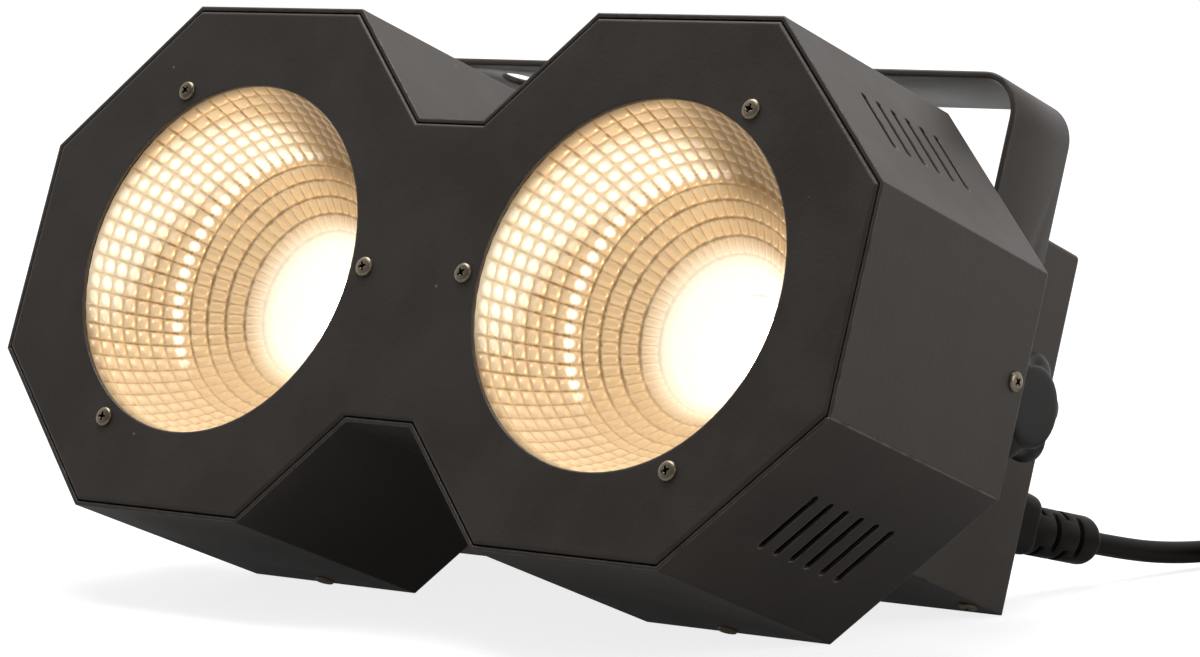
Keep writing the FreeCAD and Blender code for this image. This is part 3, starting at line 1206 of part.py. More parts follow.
def corner_arcs(points):
    """Straight runs joined by tangent arcs through a list of points, and the arcs' radii."""
    edges = []
    radii = []
    start = points[0]
    for before, corner, after in zip(points, points[1:], points[2:]):
        run_in, run_out = corner - before, after - corner
        reach = ARC_SHARE * min(run_in.Length, run_out.Length)
        way_in, way_out = Vector(run_in).normalize(), Vector(run_out).normalize()
        half_turn = way_in.getAngle(way_out) / 2
        radius = reach / math.tan(half_turn)
        radii.append(radius)
        first, last = corner - way_in * reach, corner + way_out * reach
        inward = (way_out - way_in).normalize()
        middle = corner + inward * (radius / math.cos(half_turn) - radius)
        edges.append(Part.LineSegment(start, first).toShape())
        edges.append(Part.Arc(first, middle, last).toShape())
        start = last
    edges.append(Part.LineSegment(start, points[-1]).toShape())
    return edges, radii


def tube(edges, start, way):
    """A tube of the lead's section, an even polygon, along the path."""
    sides = count("cord_sides")
    across = way.cross(Vector(0, 0, 1)).normalize()
    up = across.cross(way).normalize()
    radius = size("cord_radius")
    ring = []
    for i in range(sides):
        angle = 2 * math.pi * (i + 1 / 2) / sides
        ring.append(start + across * (radius * math.cos(angle)) + up * (radius * math.sin(angle)))
    pipe = Part.BRepOffsetAPI.MakePipeShell(Part.Wire(edges))
    pipe.add(Part.makePolygon(ring + ring[:1]))
    pipe.build()
    pipe.makeSolid()
    section = sides * radius ** 2 * math.sin(2 * math.pi / sides) / 2
    solid = pipe.shape()
    solid = solid if solid.ShapeType == "Solid" else solid.Solids[0]
    length = sum(edge.Length for edge in edges)
    print("tube volume", round(solid.Volume), "section by length", round(section * length))
    return solid


def paired_arcs(start, start_way, end, end_way):
    """Two arcs, joined in line, that leave start and reach end along the given ways."""
    gap = end - start
    total = start_way + end_way
    spread = 2 * (1 - start_way.dot(end_way))
    root = math.sqrt(gap.dot(total) ** 2 + spread * gap.dot(gap))
    reach = (root - gap.dot(total)) / spread
    joint = (start + start_way * reach + end - end_way * reach) * 0.5
    first_middle = arc_middle(start, start_way, joint)
    last_middle = arc_middle(end, end_way * -1, joint)
    return [Part.Arc(start, first_middle, joint).toShape(),
            Part.Arc(joint, last_middle, end).toShape()]


def arc_middle(tail, way, tip):
    """The middle of the arc from tail, where it goes along way, to tip."""
    chord = tip - tail
    lean = way.getAngle(chord)
    aside = way - chord * (way.dot(chord) / chord.dot(chord))
    return tail + chord * 0.5 + aside.normalize() * (chord.Length / 2 * math.tan(lean / 2))


def coil_travel():
    """The coil's whole angle of travel, clockwise seen from above."""
    return math.radians(size("coil_start - coil_end")) + 2 * math.pi * count("coil_whole_turns")


def coil_point(travel):
    """The coil's middle line: inwards on the table, then outwards on the layer above."""
    climb_start = (coil_travel() - math.pi) / 2
    climb_end = climb_start + math.pi
    step = size("coil_pitch") / (2 * math.pi)
    wound = min(travel, coil_travel() - travel)
    climb = min(max((travel - climb_start) / (climb_end - climb_start), 0), 1)
    height = size("coil_lift") + size("coil_layer") * climb * climb * (3 - 2 * climb)
    radius = size("coil_outer") - step * wound
    angle = math.radians(size("coil_start")) - travel
    return Vector(size("coil_x") + radius * math.cos(angle),
                  size("coil_y") + radius * math.sin(angle), height)


def coil_way(travel):
    """The coil's direction; at its two ends it has no spiral in it."""
    angle = math.radians(size("coil_start")) - travel
    if travel in (0, coil_travel()):
        return Vector(math.sin(angle), -math.cos(angle), 0)
    nudge = math.radians(1) / 60
    return (coil_point(travel + nudge) - coil_point(travel - nudge)).normalize()


def coil_edges():
    """The coil's path in quarter turns, with a straight stretch at each end."""
    total = int(math.ceil(coil_travel() / (math.pi / 2)))
    stops = [coil_travel() * i / total for i in range(total)] + [coil_travel()]
    edges = []
    for first, last in zip(stops, stops[1:]):
        edges += paired_arcs(coil_point(first), coil_way(first), coil_point(last), coil_way(last))
    start, finish = coil_point(0), coil_point(coil_travel())
    head = start - coil_way(0) * size("tail_length")
    tail = finish + coil_way(coil_travel()) * size("mains_tail")
    edges.insert(0, Part.LineSegment(head, start).toShape())
    edges.append(Part.LineSegment(finish, tail).toShape())
    return edges, head, tail


def coil_gap():
    """The least clear space between the coil's turns, on points of its middle line."""
    total = int(GAP_STEPS * coil_travel() / (2 * math.pi))
    points = [coil_point(coil_travel() * i / total) for i in range(total + 1)]
    least = min(point.distanceToPoint(other) for i, point in enumerate(points)
                for other in points[i + GAP_STEPS // 2:])
    return least - 2 * size("cord_radius")


def lead(stand):
    """The free stretch, the coil, its tie and the mains plug, in the stand's frame."""
    relief = stand.multiply(neck_place())
    plug_end = relief.multVec(Vector(0, size("neck_length"), 0))
    plug_way = relief.Rotation.multVec(Vector(0, 1, 0))
    edges, head, tail = coil_edges()
    points = [plug_end, plug_end + plug_way * size("lead_first_run")]
    points += [Vector(*point) for point in LEAD_POINTS]
    points += [head - coil_way(0) * size("lead_last_run"), head]
    route, radii = corner_arcs(points)
    free = doc.addObject("Part::Feature", "free_lead")
    free.Shape = tube(route, points[0], plug_way)
    keep(free, "lead_cord", Placement())
    coil = doc.addObject("Part::Feature", "coiled_lead")
    coil.Shape = tube(edges, head, coil_way(0))
    keep(coil, "lead_coil", Placement())
    free_length, coil_length = (sum(e.Length for e in path) for path in (route, edges))
    print("route", [[round(v, 2) for v in point] for point in points])
    print("route radii", [round(radius, 1) for radius in radii], "least coil radius",
          round(min(e.Curve.Radius for e in edges if hasattr(e.Curve, "Radius")), 1))
    print("coil gap", round(coil_gap(), 2), "free length", round(free_length, 1),
          "whole length", round(free_length + coil_length, 1))
    coil_tie()
    mains_plug(tail, coil_way(coil_travel()))


def tied_radii():
    """How far out each turn passes where the tie goes round them."""
    first = math.radians(size("coil_start - tie_angle"))
    turns = [first + 2 * math.pi * turn for turn in range(count("coil_whole_turns") + 1)]
    centre = Vector(size("coil_x"), size("coil_y"), 0)
    return [math.hypot(*(coil_point(turn) - centre)[0:2]) for turn in turns if turn < coil_travel()]


def coil_tie():
    """A flat band round the turns, with rounded corners."""
    reach = size("cord_radius + tie_play")
    inner, outer = min(tied_radii()) - reach, max(tied_radii()) + reach
    low, high = size("coil_lift") - reach, size("coil_lift + coil_layer") + reach
    wall, width = size("tie_thick"), size("tie_width")
    band = Part.makeBox(outer - inner + 2 * wall, width, high - low + 2 * wall,
                        Vector(inner - wall, -width / 2, low - wall))
    band = band.makeFillet(2 * wall, [e for e in band.Edges if along(e, Vector(0, 1, 0))])
    hole = Part.makeBox(outer - inner, width + 2 * size("overrun"), high - low,
                        Vector(inner, -width / 2 - size("overrun"), low))
    hole = hole.makeFillet(wall, [e for e in hole.Edges if along(e, Vector(0, 1, 0))])
    thing = doc.addObject("Part::Feature", "tie_band")
    thing.Shape = band.cut(hole)
    keep(thing, "coil_tie", Placement(Vector(size("coil_x"), size("coil_y"), 0),
                                      Rotation(Vector(0, 0, 1), size("tie_angle"))))


def mains_plug(end, way):
    """The moulded plug at the lead's far end: relief, round grip, two blades and an earth pin."""
    body = new_body("far_plug")
    profile = new_sketch(body, "grip_profile", "YZ_Plane")
    shoulder = "(mains_relief + mains_round)"
    front = "(mains_relief + mains_length)"
    polygon(profile, [("0", "0"), (front, "0"), (front, "mains_radius"),
                      (shoulder, "mains_radius"), ("mains_relief", "mains_radius - mains_round"),
                      ("mains_relief", "mains_relief_root"), ("0", "mains_relief_tip")])
    grip = body.newObject("PartDesign::Revolution", "grip")
    grip.Profile = profile
    grip.ReferenceAxis = (profile, ["H_Axis"])
    blades = new_sketch(body, "blades", offset=f"-{front}")
    for sign in ("-1", "1"):
        rectangle(blades, f"{sign} * mains_pin_spread - mains_pin_thick / 2", "0",
                  f"{sign} * mains_pin_spread + mains_pin_thick / 2", "mains_pin_width")
    circle(blades, "0", "-mains_earth_drop", "mains_earth_radius")
    pad(body, blades, "mains_pin_length")
    turn = Rotation(Vector(0, 1, 0), way)
    keep(body, "mains_plug", Placement(end, turn))


def fixture():
    front_panel()
    head_shell("top_shell", True)
    head_shell("bottom_shell", False)
    back_plate()
    for side, sign in SIDES:
        lamp(side, sign)
    rear_box_cover()
    rear_box_floor()
    electronics()
    display_window()
    for number, x in enumerate(button_places()):
        menu_button(number, x)
    dmx_sockets()
    mains_inlet()
    yoke_strap()
    for side, sign in SIDES:
        knob(side, sign)
    safety_eye()
    all_screws()


def stand_on_table():
    """Tilts the fixture back onto its rear bottom edges and centres it over the origin."""
    tilt = math.atan2(size("lamp_half_height - box_bottom"), size("box_depth"))
    turn = Placement(Vector(), Rotation(Vector(1, 0, 0), -math.degrees(tilt)))
    reach = FreeCAD.BoundBox()
    for thing, local in PIECES:
        thing.Placement = turn.multiply(local)
    doc.recompute()
    for thing, local in PIECES:
        reach.add(thing.Shape.optimalBoundingBox(False))
    heel = turn.multVec(Vector(0, size(BOX_BACK), -size("box_bottom")))
    return Placement(Vector(0, -reach.Center.y, -heel.z), turn.Rotation)


def check_and_write():
    doc.recompute()
    bad = [thing.Label for thing in doc.Objects
           if any(word in thing.State for word in ("Invalid", "Error"))]
    bad += [thing.Label for thing, local in PIECES
            if thing.Shape.isNull() or not thing.Shape.isValid() or not thing.Shape.Solids]
    if bad:
        raise RuntimeError("failed: " + ", ".join(bad))
    os.makedirs("parts", exist_ok=True)
    for thing, local in PIECES:
        thing.Shape.exportStep(f"parts/{thing.Label}.step")
    print(len(PIECES), "pieces")


fixture()
stand = stand_on_table()
fixture_count = len(PIECES)
lead_plug()
for thing, local in PIECES:
    thing.Placement = stand.multiply(local)
lead(stand)
for thing, local in PIECES[fixture_count + 1:]:
    thing.Placement = local
check_and_write()
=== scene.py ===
"""Audience blinder light: the looks of its pieces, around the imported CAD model.

Pieces are modelled in the fixture's own frame, X to the right seen from the front, Y
rearwards from the front panel's face and Z up between the two flat tops, and then
placed in the stand that leans the fixture back on its rear edges.
"""
import math

import bmesh
import bpy
from bpy.props import FloatProperty, FloatVectorProperty, IntProperty, PointerProperty
from bpy.types import Operator, Panel, PropertyGroup
from mathutils import Matrix, Vector


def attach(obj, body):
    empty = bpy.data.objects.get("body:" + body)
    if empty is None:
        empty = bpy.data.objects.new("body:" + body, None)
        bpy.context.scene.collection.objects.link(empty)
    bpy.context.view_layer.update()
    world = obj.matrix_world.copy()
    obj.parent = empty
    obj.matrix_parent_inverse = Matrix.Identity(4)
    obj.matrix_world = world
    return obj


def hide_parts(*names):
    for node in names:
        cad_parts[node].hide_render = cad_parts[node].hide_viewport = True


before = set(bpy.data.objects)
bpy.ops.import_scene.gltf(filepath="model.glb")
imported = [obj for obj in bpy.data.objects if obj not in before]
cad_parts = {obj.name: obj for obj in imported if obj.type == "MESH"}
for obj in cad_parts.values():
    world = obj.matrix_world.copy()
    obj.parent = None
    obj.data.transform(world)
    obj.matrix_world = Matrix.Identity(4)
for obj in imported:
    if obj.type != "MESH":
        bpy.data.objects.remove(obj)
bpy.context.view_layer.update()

bl_info = {
    "name": "Audience blinder light",
    "version": (1, 0, 0),
    "blender": (4, 5, 0),
    "location": "View3D > Sidebar > Blinder",
    "description": "Builds the dressed pieces of a twin audience blinder light",
    "category": "Add Mesh",
}

MM = 0.001


def rotation(degrees, axis):
    """A turn about an axis through the origin."""
    return Matrix.Rotation(math.radians(degrees), 4, axis)


def move(x, y, z):
    """A move, in millimetres."""
    return Matrix.Translation(Vector((x, y, z)) * MM)


# Sizes of the fixture in its own frame, in millimetres: the lamps' distance from the
# middle, how far the head and the rear box reach down and back, the circle of the screws
# round a lamp, where the mains inlet is, and where the yoke's pivot and the knobs are.
LAMP_X = 79.0
HEAD_DOWN, BOX_DOWN = 79.4, 52.7
HEAD_BACK, BOX_DEPTH = 84.2, 70.2
SCREW_CIRCLE = 59.85
INLET_X, INLET_Z = 100, -21.5
PIVOT_Y, PIVOT_Z = 116.9, 2.0
KNOB_X = 123.1

# The fixture leans back on the rear bottom edges of its head and its rear box, and so the
# origin of its own frame stands at this place over the table, in millimetres.
STAND_Y, STAND_Z = -75.2817, 104.1462
TILT = math.atan2(HEAD_DOWN - BOX_DOWN, BOX_DEPTH)
STAND = Matrix.Translation((0, STAND_Y * MM, STAND_Z * MM)) @ Matrix.Rotation(-TILT, 4, "X")

# Which way a piece's own Z points in the fixture's frame.
FORWARD = rotation(90, "X")
REARWARD = rotation(-90, "X")
UPWARD = Matrix.Identity(4)
DOWNWARD = rotation(180, "X")
RIGHTWARD = Matrix(((0, 0, 1, 0), (1, 0, 0, 0), (0, 1, 0, 0), (0, 0, 0, 1)))
LEFTWARD = Matrix(((0, 0, -1, 0), (-1, 0, 0, 0), (0, 1, 0, 0), (0, 0, 0, 1)))

# The lead's route from the connector to the coil, on the table, in millimetres.
LEAD_ROUTE = [(104.14, 118.88, 13.25), (106.21, 138.28, 8.85), (109.2, 159.0, 5.9),
              (112.74, 180.07, 4.8), (117.92, 199.39, 4.8)]

# The coil on the table, in millimetres and degrees: its middle, its outer radius, the
# step from turn to turn, the height of the lower layer and the step up to the upper one,
# where it starts, how far it winds, and the straight end in front of the plug.
COIL_X, COIL_Y = 168.8, 193.0
COIL_RADIUS, COIL_PITCH = 50.8, 7.6
COIL_HEIGHT, COIL_LAYER = 4.8, 7.7
COIL_START, COIL_SWEEP = 165, 5 * 360 + 175
LEAD_END = 18

# The camera that was solved from the photograph, in metres.
VIEW_PLACE = (0.895902, -1.07003, 0.207855)
VIEW_RIGHT = Vector((0.76944674, 0.63870708, -0.00223096))
VIEW_UP = Vector((-0.05572707, 0.07061285, 0.99594594))
VIEW_FORWARD = Vector((-0.63627526, 0.76620304, -0.0899261))
SENSOR_WIDTH = 36

# Where on a bowl its painted light is brightest, in degrees from the right: the upper left.
LIGHT_TURN = 150

# Depths of the bowl's mouth, bead line and coarse rings behind the panel's face, in
# millimetres; the last ring is the throat.
MOUTH_DEPTH, BEAD_DEPTH = 2.2, 30.0
COARSE_DEPTHS = (33.2, 37.4, 41.6, 45.6, 49.3, 52.8, 56.0)


class BlinderColours(PropertyGroup):
    coat: FloatVectorProperty(
        name="Powder coat", description="Colour of the painted steel", subtype="COLOR",
        size=3, min=0, max=1, default=(0.0325, 0.0270, 0.0240))
    # The rubbed edge's colour is partly wear and partly a painted highlight.
    coat_worn_and_highlit: FloatVectorProperty(
        name="Rubbed edge highlight", description="Colour of a rubbed edge, with a painted highlight",
        subtype="COLOR", size=3, min=0, max=1, default=(0.20, 0.185, 0.17))
    bowl: FloatVectorProperty(
        name="Bowl metal", description="Colour of the reflectors' bright metal",
        subtype="COLOR", size=3, min=0, max=1, default=(0.34, 0.265, 0.17))
    glow: FloatVectorProperty(
        name="Warm glow", description="Colour of the lamps' light", subtype="COLOR",
        size=3, min=0, max=1, default=(1.0, 0.74, 0.43))
    screw: FloatVectorProperty(
        name="Screw metal", description="Colour of the nickelled screws", subtype="COLOR",
        size=3, min=0, max=1, default=(0.30, 0.25, 0.18))
    moulding: FloatVectorProperty(
        name="Moulded plastic", description="Colour of sockets and connectors",
        subtype="COLOR", size=3, min=0, max=1, default=(0.0115, 0.0102, 0.0096))
    rubber: FloatVectorProperty(
        name="Knob and lead", description="Colour of the knobs and the lead's jacket",
        subtype="COLOR", size=3, min=0, max=1, default=(0.0112, 0.0094, 0.0084))
    floor: FloatVectorProperty(
        name="Floor", description="Colour of the floor", subtype="COLOR",
        size=3, min=0, max=1, default=(0.34, 0.34, 0.34))


class BlinderSizes(PropertyGroup):
    mouth_radius: FloatProperty(
        name="Bowl mouth", description="Radius of a bowl at the front panel", unit="LENGTH",
        default=54.8 * MM, min=40 * MM, max=56 * MM)
    bead_radius: FloatProperty(
        name="Bowl bead line", description="Radius where the fine facets end", unit="LENGTH",
        default=42.5 * MM, min=25 * MM, max=50 * MM)
    throat_radius: FloatProperty(
        name="Bowl throat", description="Radius of a bowl at the light source", unit="LENGTH",
        default=15.0 * MM, min=12 * MM, max=20 * MM)
    sectors: IntProperty(
        name="Facets around", description="Facets in one ring of a bowl", default=60,
        min=12, max=96)
    fine_rows: IntProperty(
        name="Fine rows", description="Rings of fine facets near the mouth", default=7,
        min=2, max=12)
    pillow: FloatProperty(
        name="Pillow", description="Height of a facet's bulge as a share of its width",
        subtype="FACTOR", default=0.20, min=0, max=0.4)
    screw_radius: FloatProperty(
        name="Screw head", description="Radius of a pan head", unit="LENGTH",
        default=3.0 * MM, min=2 * MM, max=4 * MM)
    screw_height: FloatProperty(
        name="Screw height", description="Height of a pan head", unit="LENGTH",
        default=1.2 * MM, min=0.8 * MM, max=2 * MM)
    knob_radius: FloatProperty(
        name="Knob", description="Radius over the knob's lobes", unit="LENGTH",
        default=18.0 * MM, min=12 * MM, max=25 * MM)
    strap_thick: FloatProperty(
        name="Yoke bar", description="Thickness of the yoke's flat bar", unit="LENGTH",
        default=2.0 * MM, min=1 * MM, max=4 * MM)
    strap_bend: FloatProperty(
        name="Yoke bend", description="Outer radius of the yoke's two bends", unit="LENGTH",
        default=14.0 * MM, min=5 * MM, max=30 * MM)
    clamp_radius: FloatProperty(
        name="Clamp hole", description="Radius of the clamp holes in the yoke", unit="LENGTH",
        default=6.5 * MM, min=4 * MM, max=8 * MM)
    clamp_offset: FloatProperty(
        name="Clamp hole offset", description="Side hole's distance from the middle",
        unit="LENGTH", default=82.0 * MM, min=30 * MM, max=110 * MM)
    lead_radius: FloatProperty(
        name="Lead", description="Radius of the mains lead", unit="LENGTH",
        default=3.5 * MM, min=2 * MM, max=5 * MM)


class BlinderStage(PropertyGroup):
    key_power: FloatProperty(
        name="Key lamp", description="Power of the large lamp above", unit="POWER",
        default=38.0, min=0, max=200)
    side_power: FloatProperty(
        name="Side lamp", description="Power of the lamp at the right", unit="POWER",
        default=11.0, min=0, max=200)
    lens: FloatProperty(
        name="Lens", description="Focal length of the camera", unit="CAMERA",
        default=139.57, min=20, max=400)


def deselect():
    bpy.ops.object.select_all(action="DESELECT")


def only(piece):
    """Makes one object the only selected and the active one."""
    deselect()
    piece.select_set(True)
    bpy.context.view_layer.objects.active = piece


def edit(piece, mode="FACE", action="DESELECT"):
    """Opens a piece in edit mode, with nothing or all of it selected."""
    only(piece)
    bpy.ops.object.mode_set(mode="EDIT")
    bpy.ops.mesh.select_mode(type=mode)
    bpy.ops.mesh.select_all(action=action)


def leave():
    bpy.ops.object.mode_set(mode="OBJECT")


def pick(test, kind="faces"):
    """Selects the faces whose middle and normal pass the test, or edges by middle and way."""
    piece = bpy.context.edit_object
    mesh = bmesh.from_edit_mesh(piece.data)
    bpy.ops.mesh.select_all(action="DESELECT")
    if kind == "faces":
        found = [face for face in mesh.faces if test(face.calc_center_median(), face.normal)]
    else:
        found = [edge for edge in mesh.edges
                 if test((edge.verts[0].co + edge.verts[1].co) / 2,
                         edge.verts[1].co - edge.verts[0].co)]
    for item in found:
        item.select_set(True)
    mesh.select_flush_mode()
    bmesh.update_edit_mesh(piece.data)
    if not found:
        raise RuntimeError(f"nothing selected on {piece.name}")


def named(name):
    """The active object and its mesh, under their name."""
    piece = bpy.context.active_object
    piece.name = name
    piece.data.name = name
    return piece


def fix_place():
    """Puts the active object's place in its mesh."""
    bpy.ops.object.transform_apply(location=True, rotation=True, scale=True)


def cylinder(name, radius, low, high, sides=48):
    """A cylinder along Z between two heights, in metres."""
    deselect()
    bpy.ops.mesh.primitive_cylinder_add(vertices=sides, radius=radius, depth=high - low,
                                        location=(0, 0, (low + high) / 2))
    piece = named(name)
    fix_place()
    return piece


def block(name, low, high):
    """A box between two corners, in metres."""
    deselect()
    low, high = Vector(low), Vector(high)
    bpy.ops.mesh.primitive_cube_add(size=1, location=(low + high) / 2)
    piece = named(name)
    piece.scale = high - low
    fix_place()
    return piece


def box(name, low, high):
    """A box between two corners, in millimetres."""
    return block(name, [value * MM for value in low], [value * MM for value in high])


def turned(name, profile, sides):
    """An open round piece from its outline, a list of (radius, height) in metres."""
    deselect()
    (radius, height), rest = profile[0], profile[1:]
    bpy.ops.mesh.primitive_circle_add(vertices=sides, radius=radius, fill_type="NOTHING",
                                      location=(0, 0, height))
    piece = named(name)
    fix_place()
    edit(piece, "EDGE", "SELECT")
    for next_radius, next_height in rest:
        bpy.ops.mesh.extrude_edges_move(
            TRANSFORM_OT_translate={"value": (0, 0, next_height - height)})
        share = next_radius / radius
        bpy.ops.transform.resize(value=(share, share, 1), center_override=(0, 0, next_height))
        radius, height = next_radius, next_height
    leave()
    return piece


def lathe(name, profile, sides):
    """A closed round piece, from an outline in millimetres."""
    piece = turned(name, [(radius * MM, height * MM) for radius, height in profile], sides)
    edit(piece, action="SELECT")
    bpy.ops.mesh.fill_holes(sides=0)
    bpy.ops.mesh.normals_make_consistent(inside=False)
    leave()
    return piece


def modify(piece, kind, **settings):
    """Adds a modifier and applies it."""
    only(piece)
    modifier = piece.modifiers.new(kind.lower(), kind)
    for name, value in settings.items():
        setattr(modifier, name, value)
    bpy.ops.object.modifier_apply(modifier=modifier.name)
    return piece


def blunt(piece, width, segments=2, degrees=30):
    """Rounds the edges that are sharper than an angle; the width is in millimetres."""
    return modify(piece, "BEVEL", width=width * MM, segments=segments, limit_method="ANGLE",
                  angle_limit=math.radians(degrees))


def round_edges(piece, test, radius, segments):
    """Rounds the edges whose middle and way pass the test; the radius is in metres."""
    edit(piece, "EDGE")
    pick(test, "edges")
    bpy.ops.mesh.bevel(offset=radius, segments=segments, affect="EDGES")
    leave()


def carve(piece, cutter):
    """Cuts a piece with another, which is used up."""
    modify(piece, "BOOLEAN", operation="DIFFERENCE", object=cutter, solver="EXACT")
    bpy.data.objects.remove(cutter)


def copy_of(piece, name, place):
    """A copy with its own mesh, moved by the matrix place."""
    twin = piece.copy()
    twin.data = piece.data.copy()
    twin.name = name
    bpy.context.scene.collection.objects.link(twin)
    return settle(twin, place)


def settle(piece, place):
    """Puts the place in the mesh: the object itself ends at the origin, unturned."""
    only(piece)
    piece.matrix_world = place
    bpy.context.view_layer.update()
    fix_place()
    return piece


def joined(name, parts):
    """One piece from several."""
    deselect()
    for part in parts:
        part.select_set(True)
    bpy.context.view_layer.objects.active = parts[0]
    bpy.ops.object.join()
    return named(name)


def linked(name, data):
    """A new object with the data, in the scene."""
    made = bpy.data.objects.new(name, data)
    bpy.context.scene.collection.objects.link(made)
    return made


def smooth(piece, degrees=35):
    """Shades a piece smooth, but for the edges that are sharper than an angle."""
    only(piece)
    bpy.ops.object.shade_smooth_by_angle(angle=math.radians(degrees))
    return piece


def spot(x, y, z):
    """A move to a point of the fixture's frame, in millimetres, in the stand."""
    return STAND @ move(x, y, z)


def dress(piece, material):
    """Gives a piece one material."""
    piece.data.materials.clear()
    piece.data.materials.append(material)
    return piece


def stands_for(piece, body, slot, *nodes):
    """Puts a piece on its body, in the place of the CAD nodes that it stands for."""
    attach(piece, body)
    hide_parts(*nodes)


def at_both_lamps(piece, name, slot, stem):
    """One copy at each lamp, for the CAD nodes of the left and the right."""
    for side, sign in (("left", -1), ("right", 1)):
        twin = copy_of(piece, f"{name}_{side}", spot(sign * LAMP_X, 0, 0) @ FORWARD)
        stands_for(twin, "fixture", slot, f"{stem}_{side}")
    bpy.data.objects.remove(piece)


def node(tree, kind, **settings):
    """A shader node with its plain inputs or settings."""
    made = tree.nodes.new(kind)
    for name, value in settings.items():
        if name in made.inputs.keys():
            made.inputs[name].default_value = value
        else:
            setattr(made, name, value)
    return made


def texture(tree, kind, place, **settings):
    """A texture node that reads the given coordinates."""
    made = node(tree, f"ShaderNodeTex{kind}", **settings)
    tree.links.new(place, made.inputs["Vector"])
    return made


def feed(tree, target, **values):
    """Links values to a node's inputs."""
    for label, value in values.items():
        tree.links.new(value, target.inputs[label.replace("_", " ")])


def math_node(tree, operation, first, second=None, clamp=False):
    """The result of one sum with values or plain numbers."""
    made = node(tree, "ShaderNodeMath", operation=operation, use_clamp=clamp)
    for socket, value in zip(made.inputs, (first, second)):
        if isinstance(value, (int, float)):
            socket.default_value = value
        elif value is not None:
            tree.links.new(value, socket)
    return made.outputs[0]


def times(tree, first, second):
    """The product of two values, as the next ones are their sum, difference and maximum."""
    return math_node(tree, "MULTIPLY", first, second)


def plus(tree, first, second, clamp=False):
    return math_node(tree, "ADD", first, second, clamp)


def minus(tree, first, second, clamp=False):
    return math_node(tree, "SUBTRACT", first, second, clamp)


def larger(tree, first, second):
    return math_node(tree, "MAXIMUM", first, second)


def apart(tree, first, second):
    """How far two values are from each other."""
    return math_node(tree, "ABSOLUTE", minus(tree, first, second))


def distance(tree, across, along):
    """The straight distance of a point that lies so far across and along."""
    return math_node(tree, "SQRT", plus(tree, times(tree, across, across),
                                        times(tree, along, along)))


def ramp(tree, value, low, high, start=0.0, end=1.0):
    """A smooth step of the value between two limits."""
    made = node(tree, "ShaderNodeMapRange", interpolation_type="SMOOTHSTEP")
    for name, number in (("From Min", low), ("From Max", high), ("To Min", start), ("To Max", end)):
        made.inputs[name].default_value = number
    tree.links.new(value, made.inputs["Value"])
    return made.outputs["Result"]


def blend_colours(tree, share, first, second):
    """A mix of two colours by a share from 0 to 1."""
    made = node(tree, "ShaderNodeMix", data_type="RGBA")
    for socket, value in ((made.inputs[0], share), (made.inputs[6], first), (made.inputs[7], second)):
        if isinstance(value, tuple):
            socket.default_value = (*value, 1)
        else:
            tree.links.new(value, socket)
    return made.outputs[2]


def tone(colour, share):
    """A darker or a lighter tone of a colour."""
    return tuple(min(1, part * share) for part in colour)


def group_tree(name, inputs, outputs):
    """A shader node group with its named sockets."""
    tree = bpy.data.node_groups.new(name, "ShaderNodeTree")
    for label, kind, default in inputs:
        socket = tree.interface.new_socket(name=label, in_out="INPUT", socket_type=kind)
        if default is not None:
            socket.default_value = default
    for label, kind in outputs:
        tree.interface.new_socket(name=label, in_out="OUTPUT", socket_type=kind)
    return tree, tree.nodes.new("NodeGroupInput"), tree.nodes.new("NodeGroupOutput")


def use_group(tree, name, **values):
    """A group placed in a material with its own values."""
    made = node(tree, "ShaderNodeGroup", node_tree=bpy.data.node_groups[name])
    for label, value in values.items():
        socket = made.inputs[label.replace("_", " ")]
        if isinstance(value, (int, float)):
            socket.default_value = value
        else:
            tree.links.new(value, socket)
    return made


def make_grain():
    """Orange peel and fine grit of a sprayed or moulded surface, sized in millimetres."""
    tree, start, end = group_tree(
        "Surface grain",
        [("Coordinates", "NodeSocketVector", None), ("Peel size", "NodeSocketFloat", 1.4),
         ("Grit size", "NodeSocketFloat", 0.35)],
        [("Height", "NodeSocketFloat"), ("Patches", "NodeSocketFloat")])
    place = start.outputs["Coordinates"]
    peel = texture(tree, "Noise", place, Detail=2.0, Roughness=0.5)
    grit = texture(tree, "Noise", place, Detail=3.0, Roughness=0.6)
    patches = texture(tree, "Noise", place, Scale=38.0, Detail=4.0, Roughness=0.6)
    for made, label in ((peel, "Peel size"), (grit, "Grit size")):
        feed(tree, made, Scale=math_node(tree, "DIVIDE", 1 / MM, start.outputs[label]))
    feed(tree, end, Height=plus(tree, peel.outputs[0], times(tree, grit.outputs[0], 0.45)),
         Patches=patches.outputs[0])


def make_edges():
    """A mask of the outer edges, where a finish is rubbed thin and where a lighter colour paints a
    highlight; its bevelled normal also catches real light.
    """
    tree, start, end = group_tree(
        "Rubbed and highlit edges",
        [("Coordinates", "NodeSocketVector", None), ("Width", "NodeSocketFloat", 0.6 * MM)],
        [("Mask", "NodeSocketFloat"), ("Normal", "NodeSocketVector")])
    bevel = node(tree, "ShaderNodeBevel", samples=6)
    feed(tree, bevel, Radius=start.outputs["Width"])
    geometry = node(tree, "ShaderNodeNewGeometry")
    dot = node(tree, "ShaderNodeVectorMath", operation="DOT_PRODUCT")
    tree.links.new(bevel.outputs[0], dot.inputs[0])
    tree.links.new(geometry.outputs["True Normal"], dot.inputs[1])
    edge = ramp(tree, minus(tree, 1.0, dot.outputs["Value"]), 0.02, 0.22)
    outer = ramp(tree, geometry.outputs["Pointiness"], 0.49, 0.53)
    noise = texture(tree, "Noise", start.outputs["Coordinates"], Scale=260.0, Detail=4.0)
    broken = plus(tree, times(tree, ramp(tree, noise.outputs[0], 0.32, 0.62), 0.75), 0.25)
    feed(tree, end, Mask=times(tree, times(tree, edge, broken), outer), Normal=bevel.outputs[0])


